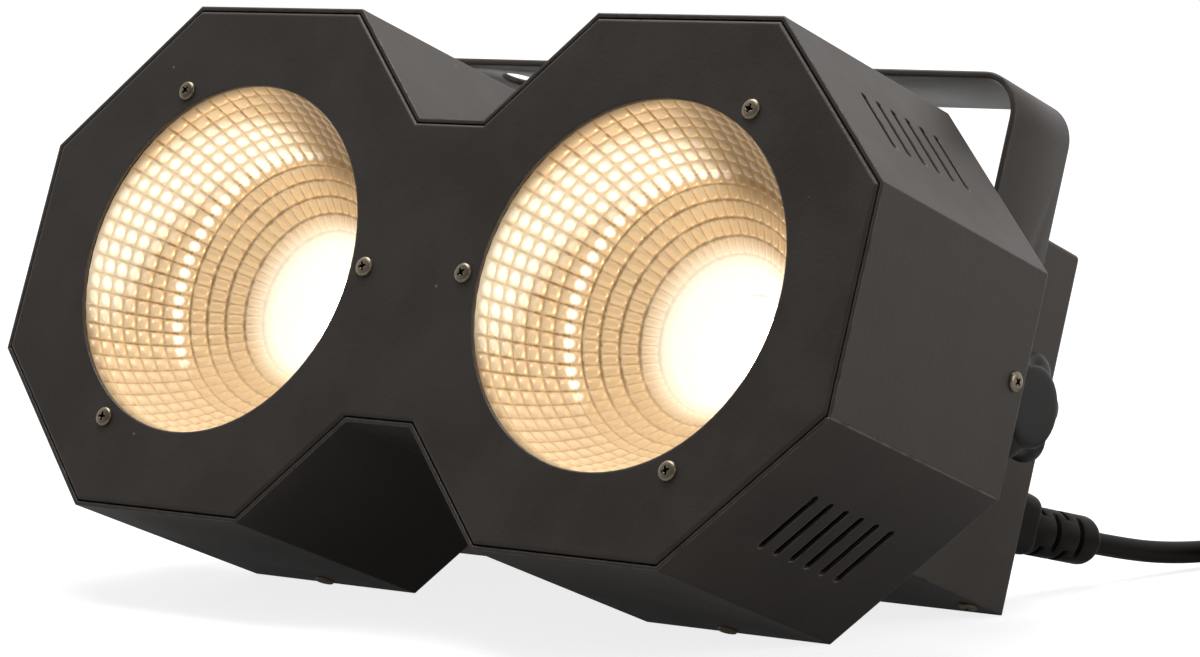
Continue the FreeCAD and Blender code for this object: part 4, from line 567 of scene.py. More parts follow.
def make_dust():
    """Sparse specks and a few faint scuffs."""
    tree, start, end = group_tree(
        "Dust and scuffs", [("Coordinates", "NodeSocketVector", None),
                            ("Specks", "NodeSocketFloat", 1.0)],
        [("Mask", "NodeSocketFloat"), ("Scuffs", "NodeSocketFloat")])
    place = start.outputs["Coordinates"]
    cells = texture(tree, "Voronoi", place, Scale=95.0, Randomness=1.0)
    speck = ramp(tree, cells.outputs["Distance"], 0.05, 0.025)
    split = node(tree, "ShaderNodeSeparateColor")
    tree.links.new(cells.outputs["Color"], split.inputs[0])
    rare = math_node(tree, "GREATER_THAN", split.outputs[0], 0.80)
    stretched = node(tree, "ShaderNodeMapping", Rotation=(0.4, 0.9, 0.3), Scale=(1.0, 9.0, 1.0))
    feed(tree, stretched, Vector=place)
    scratch = texture(tree, "Noise", stretched.outputs[0], Scale=30.0, Detail=5.0, Roughness=0.7)
    feed(tree, end, Mask=times(tree, times(tree, speck, rare), start.outputs["Specks"]),
         Scuffs=ramp(tree, scratch.outputs[0], 0.66, 0.74))


def fresh_material(name, **values):
    """A material whose shader holds the plain values, and its tree and coordinates."""
    material = bpy.data.materials.new(name)
    material.use_nodes = True
    tree = material.node_tree
    shader = tree.nodes["Principled BSDF"]
    for label, value in values.items():
        label = label.replace("_", " ")
        if isinstance(value, tuple):
            value = (*value, 1)
        shader.inputs[label].default_value = value
    coordinates = tree.nodes.new("ShaderNodeTexCoord").outputs["Object"]
    return material, tree, shader, coordinates


def surface(tree, place, peel, grit, edge):
    """The grain and the rubbed edges, with the mask of their painted highlight, of a surface; peel,
    grit and edge in millimetres.
    """
    return (use_group(tree, "Surface grain", Coordinates=place, Peel_size=peel, Grit_size=grit),
            use_group(tree, "Rubbed and highlit edges", Coordinates=place, Width=edge * MM))


def patchy(tree, grain, dark, light):
    """A colour that drifts between two tones over the surface."""
    return blend_colours(tree, ramp(tree, grain.outputs["Patches"], 0.3, 0.7), dark, light)


def uneven(tree, grain, low, high):
    """A roughness that drifts between two values over the surface."""
    return ramp(tree, grain.outputs["Patches"], 0.2, 0.8, low, high)


def laid_over(tree, base, mask, strength, colour):
    """A colour over another where a mask says, at a part of its full strength."""
    return blend_colours(tree, times(tree, mask, strength), base, colour)


def bumped(tree, shader, height, depth, normal=None):
    """Bumps of a depth in millimetres, on top of a normal where one is given."""
    bump = node(tree, "ShaderNodeBump", Strength=1.0, Distance=depth * MM)
    feed(tree, bump, Height=height)
    if normal is not None:
        feed(tree, bump, Normal=normal)
    feed(tree, shader, Normal=bump.outputs[0])


def coat_material(colours):
    """Black powder coat: fine peel, rubbed edges with a painted highlight, specks of dust and faint
    scuffs.
    """
    coat, rough, dust = tuple(colours.coat), 0.46, (0.30, 0.28, 0.25)
    material, tree, shader, place = fresh_material("powder_coat", Specular_IOR_Level=0.40,
                                                   Specular_Tint=(1.0, 0.90, 0.82))
    grain, edges = surface(tree, place, 1.1, 0.4, 0.9)
    specks = use_group(tree, "Dust and scuffs", Coordinates=place, Specks=1.0)
    base = patchy(tree, grain, tone(coat, 0.82), tone(coat, 1.16))
    # Lighter edges: partly rubbed coat, partly a painted highlight along the folds.
    rubbed_and_highlit = laid_over(tree, base, edges.outputs["Mask"], 0.7, tuple(colours.coat_worn_and_highlit))
    dusty = laid_over(tree, rubbed_and_highlit, specks.outputs["Mask"], 0.5, dust)
    scuffed = minus(tree, uneven(tree, grain, rough - 0.05, rough + 0.06),
                    times(tree, specks.outputs["Scuffs"], 0.07))
    polished = minus(tree, scuffed, times(tree, edges.outputs["Mask"], 0.12), clamp=True)
    feed(tree, shader, Base_Color=dusty, Roughness=polished)
    bumped(tree, shader, grain.outputs["Height"], 0.05, edges.outputs["Normal"])
    return material


def metal_material(name, colour, rough):
    """Bare or plated metal with fine marks, and edges in a lighter tone: rubbed metal with a painted
    highlight.
    """
    material, tree, shader, place = fresh_material(name, Metallic=1.0)
    grain, edges = surface(tree, place, 2.2, 0.25, 0.2)
    base = patchy(tree, grain, tone(colour, 0.72), colour)
    # A lighter tone on the edges: a painted highlight, partly rubbed metal.
    painted_light = laid_over(tree, base, edges.outputs["Mask"], 0.5, tone(colour, 1.5))
    feed(tree, shader, Base_Color=painted_light, Roughness=uneven(tree, grain, rough - 0.06, rough + 0.12))
    bumped(tree, shader, grain.outputs["Height"], 0.01, edges.outputs["Normal"])
    return material


def moulded_material(name, colour, rough=0.42, peel=0.9, depth=0.02, specular=0.25, edge=0.4):
    """Moulded plastic or rubber with a fine spark-eroded grain, sized in millimetres."""
    dust = (0.22, 0.21, 0.20)
    material, tree, shader, place = fresh_material(name, Specular_IOR_Level=specular)
    grain, edges = surface(tree, place, peel, 0.3, edge)
    specks = use_group(tree, "Dust and scuffs", Coordinates=place, Specks=0.6)
    base = patchy(tree, grain, tone(colour, 0.8), tone(colour, 1.2))
    dusty = laid_over(tree, base, specks.outputs["Mask"], 0.35, dust)
    feed(tree, shader, Base_Color=dusty, Roughness=uneven(tree, grain, rough - 0.06, rough + 0.08))
    bumped(tree, shader, grain.outputs["Height"], depth, edges.outputs["Normal"])
    return material


def shows_background(tree):
    """The rays that show the background, straight, mirrored or through glass, and of these
    the straight ones alone."""
    path = node(tree, "ShaderNodeLightPath").outputs
    bent = plus(tree, path["Is Glossy Ray"], path["Is Transmission Ray"])
    return plus(tree, path["Is Camera Ray"], bent, clamp=True), path["Is Camera Ray"]


def along_view(tree, vector):
    """How far a vector reaches along the camera's line of sight."""
    dot = node(tree, "ShaderNodeVectorMath", operation="DOT_PRODUCT")
    tree.links.new(vector, dot.inputs[0])
    dot.inputs[1].default_value = VIEW_FORWARD
    return dot.outputs["Value"]


def add_camera(scene):
    """The camera with the place, the turn and the lens of the photograph."""
    data = bpy.data.cameras.new("camera")
    data.sensor_width = SENSOR_WIDTH
    data.lens = scene.blinder_stage.lens
    data.clip_start, data.clip_end = 0.05, 50
    scene.camera = linked("camera", data)
    turn = Matrix((VIEW_RIGHT, VIEW_UP, -VIEW_FORWARD)).transposed().to_4x4()
    scene.camera.matrix_world = Matrix.Translation(VIEW_PLACE) @ turn


def add_floor(scene):
    """Pale paper: nearly white to the camera, darker at its near side in mirror images."""
    deselect()
    bpy.ops.mesh.primitive_plane_add(size=12, location=(0, 0, 0))
    floor = named("floor")
    material, tree, shader, place = fresh_material(
        "floor_paper", Roughness=0.9, Specular_IOR_Level=0.1, Emission_Strength=1.0)
    noise = texture(tree, "Noise", place, Scale=3.0, Detail=3.0)
    pale = tuple(scene.blinder_colours.floor)
    base = blend_colours(tree, noise.outputs[0], tone(pale, 0.97), pale)
    away = node(tree, "ShaderNodeVectorMath", operation="LENGTH")
    tree.links.new(place, away.inputs[0])
    seen, straight = shows_background(tree)
    paper = ramp(tree, away.outputs["Value"], 0.35, 1.8, 0.82, 1.0)
    mirrored = ramp(tree, along_view(tree, place), 0.0, 0.55, 0.10, 1.0)
    shown = blend_colours(tree, straight, mirrored, paper)
    feed(tree, shader, Base_Color=base,
         Emission_Color=blend_colours(tree, seen, (0.0, 0.0, 0.0), shown))
    dress(floor, material)


def add_world(scene):
    """White to the camera, darker at the camera's side in mirror images, grey as a light."""
    world = bpy.data.worlds.new("studio")
    scene.world = world
    world.use_nodes = True
    tree = world.node_tree
    ambient = (0.34, 0.34, 0.34)
    seen, straight = shows_background(tree)
    way = node(tree, "ShaderNodeTexCoord").outputs["Generated"]
    mirrored = ramp(tree, along_view(tree, way), -0.25, 0.55, 0.16, 1.0)
    shown = larger(tree, straight, mirrored)
    feed(tree, tree.nodes["Background"], Color=blend_colours(tree, seen, ambient, shown))


def add_lamp(name, place, width, power):
    """A square lamp at a place in metres, aimed at the fixture's middle."""
    light = bpy.data.lights.new(name, "AREA")
    light.shape = "SQUARE"
    light.size = width
    light.energy = power
    aim = Vector((0, 0, 0.1))
    way = aim - Vector(place)
    turn = way.to_track_quat("-Z", "Y").to_matrix().to_4x4()
    linked(name, light).matrix_world = Matrix.Translation(place) @ turn


class OBJECT_OT_blinder_stage(Operator):
    """Set the camera at the photograph's view, the floor and the soft lamps"""
    bl_idname = "object.blinder_stage"
    bl_label = "Stage"

    def execute(self, context):
        scene = context.scene
        scene.view_settings.view_transform = "Standard"
        add_camera(scene)
        add_floor(scene)
        add_world(scene)
        add_lamp("key_lamp", (-0.3, 0.15, 1.8), 1.3, scene.blinder_stage.key_power)
        add_lamp("side_lamp", (1.7, 0.35, 0.7), 1.0, scene.blinder_stage.side_power)
        return {"FINISHED"}


def coil_end():
    """The end of the coil's last turn, in millimetres, and the way the lead leaves it."""
    angle = math.radians(COIL_START - COIL_SWEEP)
    place = Vector((COIL_X + COIL_RADIUS * math.cos(angle),
                    COIL_Y + COIL_RADIUS * math.sin(angle), COIL_HEIGHT + COIL_LAYER))
    return place, Vector((math.sin(angle), -math.cos(angle), 0))


def coil_points():
    """The coil's middle line: inwards on the table, then outwards on the layer above."""
    per_turn, start, sweep = 20, math.radians(COIL_START), math.radians(COIL_SWEEP)
    total = int(per_turn * sweep / (2 * math.pi))
    points = []
    for i in range(total + 1):
        travel = sweep * i / total
        climb = min(max((travel - (sweep - math.pi) / 2) / math.pi, 0), 1)
        radius = COIL_RADIUS - COIL_PITCH / (2 * math.pi) * min(travel, sweep - travel)
        angle = start - travel
        points.append((COIL_X + radius * math.cos(angle), COIL_Y + radius * math.sin(angle),
                       COIL_HEIGHT + COIL_LAYER * climb * climb * (3 - 2 * climb)))
    end, way = coil_end()
    return points + [end + way * LEAD_END]


def soft_jacket():
    """The black rubber of the lead and of the pieces moulded on it, made once."""
    colour = tuple(bpy.context.scene.blinder_colours.rubber)
    return bpy.data.materials.get("lead_jacket") or moulded_material(
        "lead_jacket", colour, rough=0.50, peel=2.4, depth=0.03, specular=0.08, edge=0.3)


def slotted(sleeve, first, pitch, number, inner, outer, width):
    """Cuts staggered slots through a round sleeve, two to a ring, by turns across it."""
    for index in range(number):
        low = first + index * pitch - width / 2
        for side in (-1, 1):
            near, far = sorted((side * inner, side * outer))
            if index % 2:
                slot = box("slot", (-outer, near, low), (outer, far, low + width))
            else:
                slot = box("slot", (near, -outer, low), (far, outer, low + width))
            carve(sleeve, blunt(slot, 0.35))
    blunt(sleeve, 0.3, degrees=50)


class OBJECT_OT_blinder_connector(Operator):
    """Model the lead's connector and its slotted strain relief"""
    bl_idname = "object.blinder_connector"
    bl_label = "Connector"

    def execute(self, context):
        grip_x, grip_y, grip_front, grip_back = 13.75, 9.3, 156.8, 174.4
        nose_x, nose_y, nose_front, hole_x, hole_y, hole_end = 11.9, 8.1, 143.2, 1.3, 2.3, 155.5
        grip = box("grip", (-grip_x, -grip_y, grip_front), (grip_x, grip_y, grip_back))
        round_edges(grip, lambda middle, way: abs(way.z) > 1 * MM or middle.z > 174 * MM,
                    4.5 * MM, 6)
        nose = box("nose", (-nose_x, -nose_y, nose_front), (nose_x, nose_y, grip_front + 0.2))
        for x, y in ((-7, 2), (7, 2), (0, -2)):
            carve(nose, box("blade_hole", (x - hole_x, y - hole_y, nose_front - 3.2),
                            (x + hole_x, y + hole_y, hole_end)))
        place = spot(INLET_X, 0, INLET_Z) @ REARWARD
        parts = [settle(smooth(grip, 40), place), settle(nose, place)]
        sleeve = lathe("sleeve", [
            (6.6, -3.0), (7.6, -2.4), (7.6, 10.0), (7.6, 20.0), (7.6, 30.0), (7.6, 34.6),
            (7.45, 35.6), (7.0, 36.6), (6.2, 37.8), (5.3, 39.0), (4.7, 39.7), (3.9, 39.95)], 64)
        slotted(sleeve, 5.0, 5.6, 5, 4.6, 9.0, 2.1)
        droop = rotation(-6, "Z") @ rotation(8, "X")
        parts.append(settle(smooth(sleeve, 40),
                            spot(INLET_X, grip_back, INLET_Z) @ droop @ REARWARD))
        connector = dress(joined("connector", parts), soft_jacket())
        stands_for(connector, "fixture", "plug", "lead_plug")
        return {"FINISHED"}


class OBJECT_OT_blinder_mains_plug(Operator):
    """Model the plug at the lead's far end"""
    bl_idname = "object.blinder_mains_plug"
    bl_label = "Mains plug"

    def execute(self, context):
        grip = lathe("far_grip", [
            (6.9, 18.0), (8.4, 20.0), (10.6, 20.7), (11.8, 22.0), (12.35, 24.0), (12.4, 27.0),
            (12.4, 34.0), (12.4, 42.0), (12.4, 50.0), (12.4, 53.2), (12.1, 53.8), (11.5, 54.0),
            (9.0, 54.0), (4.0, 54.0)], 64)
        for side in (-1, 1):
            hollow = lathe("hollow", [(6.0, -14), (9.0, -13), (9.0, 13), (6.0, 14)], 48)
            carve(grip, settle(hollow, move(side * 18.9, 0, 38.5) @ rotation(90, "X")))
        blunt(grip, 0.8, 3, 25)
        sleeve = lathe("far_sleeve", [
            (3.6, 0.05), (4.6, 0.1), (5.0, 0.6), (5.4, 5.0), (6.0, 11.0), (6.6, 17.0),
            (7.0, 21.0)], 48)
        slotted(sleeve, 3.4, 3.6, 4, 4.2, 8.0, 1.4)
        blades = [box("blade", (x - 0.8, -6.3, 53.5), (x + 0.8, 0, 70)) for x in (-6.35, 6.35)]
        for blade in blades:
            edit(blade)
            pick(lambda middle, normal: normal.z > 0.9)
            bpy.ops.mesh.extrude_region_move()
            bpy.ops.transform.resize(value=(1, 0.999, 1), center_override=(0, -3.15 * MM, 0))
            leave()
            blunt(blade, 0.35)
        earth = smooth(lathe("earth", [(2.4, 53.5), (2.4, 66.5), (2.2, 68.6), (1.5, 69.7),
                                       (0.5, 70.0)], 32), 30)
        blades.append(settle(earth, move(0, 6.0, 0)))
        # The plug's own Z looks along the lead's last stretch.
        end, way = coil_end()
        place = (Matrix.Translation((end + way * LEAD_END) * MM)
                 @ way.to_track_quat("Y", "Z").to_matrix().to_4x4() @ REARWARD)
        body = joined("far_plug", [smooth(grip, 35), smooth(sleeve, 40)])
        stands_for(settle(dress(body, soft_jacket()), place), "fixture", "plug", "mains_plug")
        brass = metal_material("plated_brass", (0.62, 0.55, 0.42), 0.25)
        pins = settle(dress(joined("far_pins", blades), brass), place)
        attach(pins, "fixture")
        return {"FINISHED"}


class OBJECT_OT_blinder_tie(Operator):
    """Model the strap that ties the coil"""
    bl_idname = "object.blinder_tie"
    bl_label = "Coil strap"

    def execute(self, context):
        wall, half_width, turn_on_coil = 0.8, 4.5, 80
        inner, outer, low, high = 29.9, 52.8, 0.95, 16.35
        tail_start, tail_end = 34.5, 49.0
        strap = box("strap", (inner - wall, -half_width, low - wall),
                    (outer + wall, half_width, high + wall))
        round_edges(strap, lambda middle, way: abs(way.y) > 1 * MM, 3.2 * MM, 6)
        edit(strap)
        pick(lambda middle, normal: abs(normal.y) > 0.9)
        bpy.ops.mesh.delete(type="ONLY_FACE")
        leave()
        modify(strap, "SOLIDIFY", thickness=wall * MM, offset=-1.0)
        tail = box("tail", (tail_start, -half_width, high + wall),
                   (tail_end, half_width, high + 2 * wall + 0.1))
        edit(tail, action="SELECT")
        bpy.ops.mesh.subdivide(number_cuts=3)
        leave()
        tie = smooth(joined("coil_strap", [blunt(part, 0.2) for part in (strap, tail)]), 35)
        material, tree, shader, place = fresh_material("hook_strap", Specular_IOR_Level=0.2,
                                                       Sheen_Weight=0.3)
        weave = texture(tree, "Wave", place, Scale=900.0, Distortion=1.5, Detail=2.0).outputs[1]
        feed(tree, shader, Roughness=ramp(tree, weave, 0.0, 1.0, 0.62, 0.85),
             Base_Color=blend_colours(tree, weave, (0.006, 0.006, 0.006), (0.022, 0.021, 0.020)))
        bumped(tree, shader, weave, 0.12)
        dress(tie, material)
        settle(tie, move(COIL_X, COIL_Y, 0) @ rotation(turn_on_coil, "Z"))
        stands_for(tie, "fixture", "tie", "coil_tie")
        return {"FINISHED"}


class OBJECT_OT_blinder_lead(Operator):
    """Lay the mains lead from its connector to the tied coil"""
    bl_idname = "object.blinder_lead"
    bl_label = "Mains lead"

    def execute(self, context):
        sizes = context.scene.blinder_sizes
        curve = bpy.data.curves.new("mains_lead", "CURVE")
        curve.dimensions = "3D"
        spline = curve.splines.new("NURBS")
        points = LEAD_ROUTE + coil_points()
        spline.points.add(len(points) - 1)
        for point, place in zip(spline.points, points):
            point.co = (*(Vector(place) * MM), 1)
        spline.order_u = 3
        spline.use_endpoint_u = True
        spline.resolution_u = 6
        curve.bevel_depth = sizes.lead_radius
        curve.bevel_resolution = 5
        curve.use_fill_caps = True
        lead = linked("mains_lead", curve)
        lead.data.materials.append(soft_jacket())
        stands_for(lead, "fixture", "cord", "lead_cord", "lead_coil")
        return {"FINISHED"}


def lit_ceramic():
    """White ceramic close to the light source, with a painted glow so bright that it nearly burns
    out.
    """
    material, tree, shader, place = fresh_material("lit_ceramic", Roughness=0.5,
                                                   Emission_Strength=1.0)
    grain = use_group(tree, "Surface grain", Coordinates=place, Peel_size=1.5, Grit_size=0.4)
    feed(tree, shader, Base_Color=patchy(tree, grain, (0.80, 0.77, 0.70), (0.86, 0.84, 0.78)),
         Emission_Color=patchy(tree, grain, (1.25, 1.08, 0.84), (1.35, 1.20, 0.96)))
    bumped(tree, shader, grain.outputs["Height"], 0.01)
    return material


def both(*stems):
    """The names of the nodes at the left and at the right."""
    return [f"{stem}_{side}" for stem in stems for side in ("left", "right")]


class OBJECT_OT_blinder_finishes(Operator):
    """Give the housing, the yoke and the inner pieces their finishes"""
    bl_idname = "object.blinder_finishes"
    bl_label = "Finishes"

    def execute(self, context):
        colours = context.scene.blinder_colours
        finishes = {
            coat_material(colours): [
                "front_panel", "top_shell", "bottom_shell", "back_plate", "rear_box_cover",
                "rear_box_floor", "yoke", "safety_eye"],
            moulded_material("black_moulding", tuple(colours.moulding)): [
                "dmx_in_socket", "dmx_out_socket", "mains_inlet", "fuse_drawer", "dmx_out_latch",
                *both("friction_washer", "fan_frame", "fan_rotor")],
            metal_material("zinc_steel", (0.42, 0.42, 0.43), 0.34): [
                "power_supply", *both("knob_stud", "pivot_nut", "sink_posts", "reflector_holder")],
            metal_material("cast_aluminium", (0.62, 0.62, 0.63), 0.42): both("heat_sink"),
            metal_material("bright_contacts", (0.72, 0.60, 0.38), 0.22): [
                "dmx_in_pins", "inlet_blades"],
            moulded_material("glass_and_ceramic", (0.62, 0.60, 0.56), 0.5): ["fuse"],
            lit_ceramic(): both("led_clamp", "led_board"),
            moulded_material("circuit_green", (0.012, 0.07, 0.035), 0.35): [
                "led_driver", "control_board"],
            moulded_material("grey_button", (0.12, 0.12, 0.12), 0.45): [
                "menu_button_1", "menu_button_2", "menu_button_3", "menu_button_4"],
            moulded_material("smoked_window", (0.012, 0.004, 0.004), 0.12, 3.0, 0.004): [
                "display_window"],
        }
        for material, names in finishes.items():
            for name in names:
                dress(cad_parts[name], material)
        return {"FINISHED"}


def bowl_rings(sizes):
    """The bowl's rings from the mouth to the throat: (radius, depth) in metres."""
    def radius(first, last, share, bulge):
        return first + (last - first) * share + bulge * MM * share * (1 - share)

    start, line, end = MOUTH_DEPTH * MM, BEAD_DEPTH * MM, COARSE_DEPTHS[-1] * MM
    rings = []
    for i in range(sizes.fine_rows + 1):
        share = i / sizes.fine_rows
        rings.append((radius(sizes.mouth_radius, sizes.bead_radius, share, 4.8),
                      start + (line - start) * share))
    for depth in COARSE_DEPTHS:
        share = (depth * MM - line) / (end - line)
        rings.append((radius(sizes.bead_radius, sizes.throat_radius, share, 10.4), depth * MM))
    return rings


def face_inwards(bowl):
    """Turns an open bowl's faces, all of them selected, towards its axis."""
    mesh = bmesh.from_edit_mesh(bowl.data)
    mesh.faces.ensure_lookup_table()
    face = mesh.faces[0]
    middle = face.calc_center_median()
    if face.normal.dot(Vector((middle.x, middle.y, 0))) > 0:
        bpy.ops.mesh.flip_normals()


def map_facets(bowl, depths, step, sectors):
    """Writes the map "facets": U counts the facets round the bowl, V the rings from the mouth."""
    mesh = bmesh.from_edit_mesh(bowl.data)
    layer = mesh.loops.layers.uv.new("facets")
    for face in mesh.faces:
        middle = face.calc_center_median()
        base = math.atan2(middle.y, middle.x)
        for loop in face.loops:
            place = loop.vert.co
            turn = (math.atan2(place.y, place.x) - base + math.pi) % (2 * math.pi) - math.pi
            row = min(range(len(depths)), key=lambda i: abs(depths[i] + place.z))
            loop[layer].uv = ((base + turn) / step + sectors, row)
    bmesh.update_edit_mesh(bowl.data)


def raise_pillows(rings, step, pillow):
    """Lets each facet of the open bowl bulge, in two steps inwards from its edges."""
    for (radius, depth), (next_radius, next_depth) in zip(rings, rings[1:]):
        width = min(step * (radius + next_radius) / 2,
                    math.hypot(radius - next_radius, next_depth - depth))
        pick(lambda middle, normal: -next_depth < middle.z < -depth)
        for rim, height in ((0.12, 0.65), (0.17, 0.35)):
            bpy.ops.mesh.inset(thickness=rim * width, depth=height * pillow * width,
                               use_individual=True)


def facet_places(tree, sectors):
    """Where a point lies on the bowl: its row, how far it is from the middle of its facet
    across and along, from 0 to 0.5, and its turn from the light in degrees."""
    split = node(tree, "ShaderNodeSeparateXYZ")
    tree.links.new(node(tree, "ShaderNodeUVMap", uv_map="facets").outputs[0], split.inputs[0])
    column, row = split.outputs["X"], split.outputs["Y"]
    across = apart(tree, math_node(tree, "FRACT", column), 0.5)
    along = apart(tree, math_node(tree, "FRACT", row), 0.5)
    share = plus(tree, math_node(tree, "DIVIDE", column, float(sectors)), 0.5 - LIGHT_TURN / 360)
    turn = times(tree, minus(tree, math_node(tree, "FRACT", share), 0.5), 360.0)
    return row, across, along, turn


def facet_crease_shade(tree, across, along, inner, grain):
    """A mask of the painted shade in the lines between the facets, a little uneven: those along the
    bowl are stronger in the fine rows, and those round it in the coarse ones."""
    wobble = times(tree, minus(tree, grain.outputs["Height"], 0.72), 0.22)
    rib = times(tree, ramp(tree, plus(tree, across, wobble), 0.36, 0.53),
                by_zone(tree, inner, 1.0, 0.55))
    line = times(tree, ramp(tree, plus(tree, along, wobble), 0.34, 0.52),
                 by_zone(tree, inner, 0.55, 1.0))
    return larger(tree, rib, line)


def by_zone(tree, inner, fine, coarse):
    """One value in the fine rows and another in the coarse ones behind the bead line."""
    return ramp(tree, inner, 0.0, 1.0, fine, coarse)


def bowl_material(sizes, colours):
    """Bright metal with the light of the photograph on it, which follows the facets."""
    material, tree, shader, place = fresh_material("bright_bowl", Metallic=1.0,
                                                   Emission_Strength=1.0)
    row, across, along, turn = facet_places(tree, sizes.sectors)
    fine = float(sizes.fine_rows)
    inner = ramp(tree, row, fine - 0.02, fine + 0.02)
    grain = use_group(tree, "Surface grain", Coordinates=place, Peel_size=2.6, Grit_size=1.1)
    crease_shade = facet_crease_shade(tree, across, along, inner, grain)

    # The shaded side, darker towards the mouth's edge and lighter towards the throat.
    deeper = minus(tree, 0.92, times(tree, ramp(tree, row, fine, fine + 3.5), 0.62))
    rim = times(tree, ramp(tree, row, 1.0, 0.0), 0.6)
    dim = larger(tree, times(tree, ramp(tree, turn, -38.0, -78.0), deeper), rim)

    # Painted glow on the warm facets, with painted shade in brown lines between them, which are
    # fainter at the bottom of the bowl.
    cell = tuple(c * k for c, k in zip(colours.glow, (0.66, 0.60, 0.55)))
    brown = tuple(c * k for c, k in zip(colours.glow, (0.24, 0.19, 0.15)))
    soft = minus(tree, 1.0, times(tree, ramp(tree, turn, 52.0, 88.0), 0.68))
    facet = blend_colours(tree, times(tree, crease_shade, soft),
                          blend_colours(tree, dim, cell, tone(brown, 0.5)), brown)

    # Painted highlights: bright dots on the bead line, at the side of the light.
    beside = times(tree, minus(tree, row, fine), 0.8)
    dot = times(tree, ramp(tree, distance(tree, across, beside), 0.46, 0.20),
                times(tree, ramp(tree, turn, -70.0, -50.0), ramp(tree, turn, 78.0, 62.0)))

    # Painted highlights: the band that catches the light, slanting over the fine rows, and the bright
    # middles of its facets.
    window = times(tree, ramp(tree, turn, -66.0, -38.0), ramp(tree, turn, 62.0, 34.0))
    band = apart(tree, minus(tree, row, 3.2), math_node(tree, "DIVIDE", turn, -17.0))
    caught = times(tree, window, ramp(tree, band, 3.6, 1.0))
    bead = times(tree, ramp(tree, distance(tree, across, along), 0.46, 0.20),
                 times(tree, plus(tree, times(tree, caught, 0.95), 0.10),
                       by_zone(tree, inner, 1.0, 0.0)))
    bead = times(tree, bead, minus(tree, 1.0, rim))
    haze = times(tree, times(tree, caught, by_zone(tree, inner, 1.0, 0.25)), 0.5)

    # The painted glow close to the light source, with one bright ring in it.
    halo = times(tree, ramp(tree, apart(tree, row, fine + 5.7), 0.4, 0.12), 0.75)
    near = ramp(tree, row, fine + 3.7, fine + 6.1)

    # All the painted highlights and the painted glow together.
    painted_light = larger(tree, larger(tree, dot, halo), larger(tree, near, bead))
    hazy = blend_colours(tree, haze, facet, (1.0, 0.86, 0.62))
    metal = patchy(tree, grain, tone(colours.bowl, 0.88), tuple(colours.bowl))
    # Painted shade in the creases between the facets, on the metal's own colour.
    crease_shaded = blend_colours(tree, crease_shade, metal, tone(colours.bowl, 0.4))
    # The painted light goes into the emission; the painted shade also darkens the metal's colour.
    feed(tree, shader, Emission_Color=blend_colours(tree, painted_light, hazy, (1.35, 1.18, 0.92)),
         Base_Color=blend_colours(tree, dim, crease_shaded, tone(colours.bowl, 0.12)),
         Roughness=plus(tree, uneven(tree, grain, 0.24, 0.34),
                        ramp(tree, turn, 48.0, 84.0, 0.0, 0.4)))
    return material


class OBJECT_OT_blinder_reflectors(Operator):
    """Model the two faceted bowls"""
    bl_idname = "object.blinder_reflectors"
    bl_label = "Reflectors"

    def execute(self, context):
        sizes, colours = context.scene.blinder_sizes, context.scene.blinder_colours
        wall, step = 0.7 * MM, 2 * math.pi / sizes.sectors
        rings = bowl_rings(sizes)
        bowl = turned("bowl", [(radius, -depth) for radius, depth in rings], sizes.sectors)
        edit(bowl, action="SELECT")
        face_inwards(bowl)
        map_facets(bowl, [depth for radius, depth in rings], step, sizes.sectors)
        raise_pillows(rings, step, sizes.pillow)
        leave()
        modify(bowl, "SUBSURF", levels=1, render_levels=1)
        bowl.data.materials.append(bowl_material(sizes, colours))
        bowl.data.materials.append(metal_material("bowl_back", (0.40, 0.39, 0.37), 0.4))
        modify(bowl, "SOLIDIFY", thickness=wall, offset=-1.0, material_offset=1)
        at_both_lamps(smooth(bowl, 60), "bowl", "reflector", "reflector")
        return {"FINISHED"}


class OBJECT_OT_blinder_lights(Operator):
    """Model the two round light sources"""
    bl_idname = "object.blinder_lights"
    bl_label = "Light sources"

    def execute(self, context):
        radius, low, high = 11 * MM, -58.0 * MM, -57.4 * MM
        rim, dish, step = 1.4 * MM, 0.15 * MM, 3 * MM
        source = cylinder("source", radius, low, high, 64)
        edit(source)
        pick(lambda middle, normal: normal.z > 0.9)
        bpy.ops.mesh.inset(thickness=rim, depth=0)
        bpy.ops.mesh.extrude_region_move(TRANSFORM_OT_translate={"value": (0, 0, -dish)})
        for rise in (0.12, 0.06):
            bpy.ops.mesh.inset(thickness=step, depth=rise * MM)
        leave()
        smooth(blunt(source, 0.15))
        material, tree, shader, place = fresh_material("lit_phosphor", Roughness=0.5,
                                                       Emission_Strength=9.0)
        noise = texture(tree, "Noise", place, Scale=900.0, Detail=2.0).outputs[0]
        feed(tree, shader,
             Base_Color=blend_colours(tree, noise, (0.85, 0.60, 0.18), (0.95, 0.74, 0.30)),
             Emission_Color=blend_colours(tree, noise, (1.0, 0.84, 0.58), (1.0, 0.90, 0.68)))
        at_both_lamps(dress(source, material), "source", "led_light", "led_light")
        return {"FINISHED"}


def pan_screw(sizes):
    """A pan head with a cross recess and its shank; the sheet's face is at zero."""
    radius, height = sizes.screw_radius / MM, sizes.screw_height / MM
    screw = lathe("screw", [
        (1.4, -4), (1.4, 0), (radius, 0), (radius, 0.30 * height),
        (0.965 * radius, 0.55 * height), (0.87 * radius, 0.78 * height),
        (0.72 * radius, 0.92 * height), (0.50 * radius, 0.98 * height),
        (0.20 * radius, height)], 32)
    for turn in (0, 90):
        arm = box("arm", (-1.8, -0.44, height - 0.8), (1.8, 0.44, height + 1))
        edit(arm)
        pick(lambda middle, normal: normal.z < -0.9)
        bpy.ops.transform.resize(value=(0.62, 0.6, 1), center_override=(0, 0, 0))
        leave()
        carve(screw, settle(arm, rotation(turn, "Z")))
    carve(screw, lathe("core", [(0.05, height - 1.05), (0.8, height - 0.4),
                                (0.8, height + 0.5)], 12))
    return smooth(screw, 30)


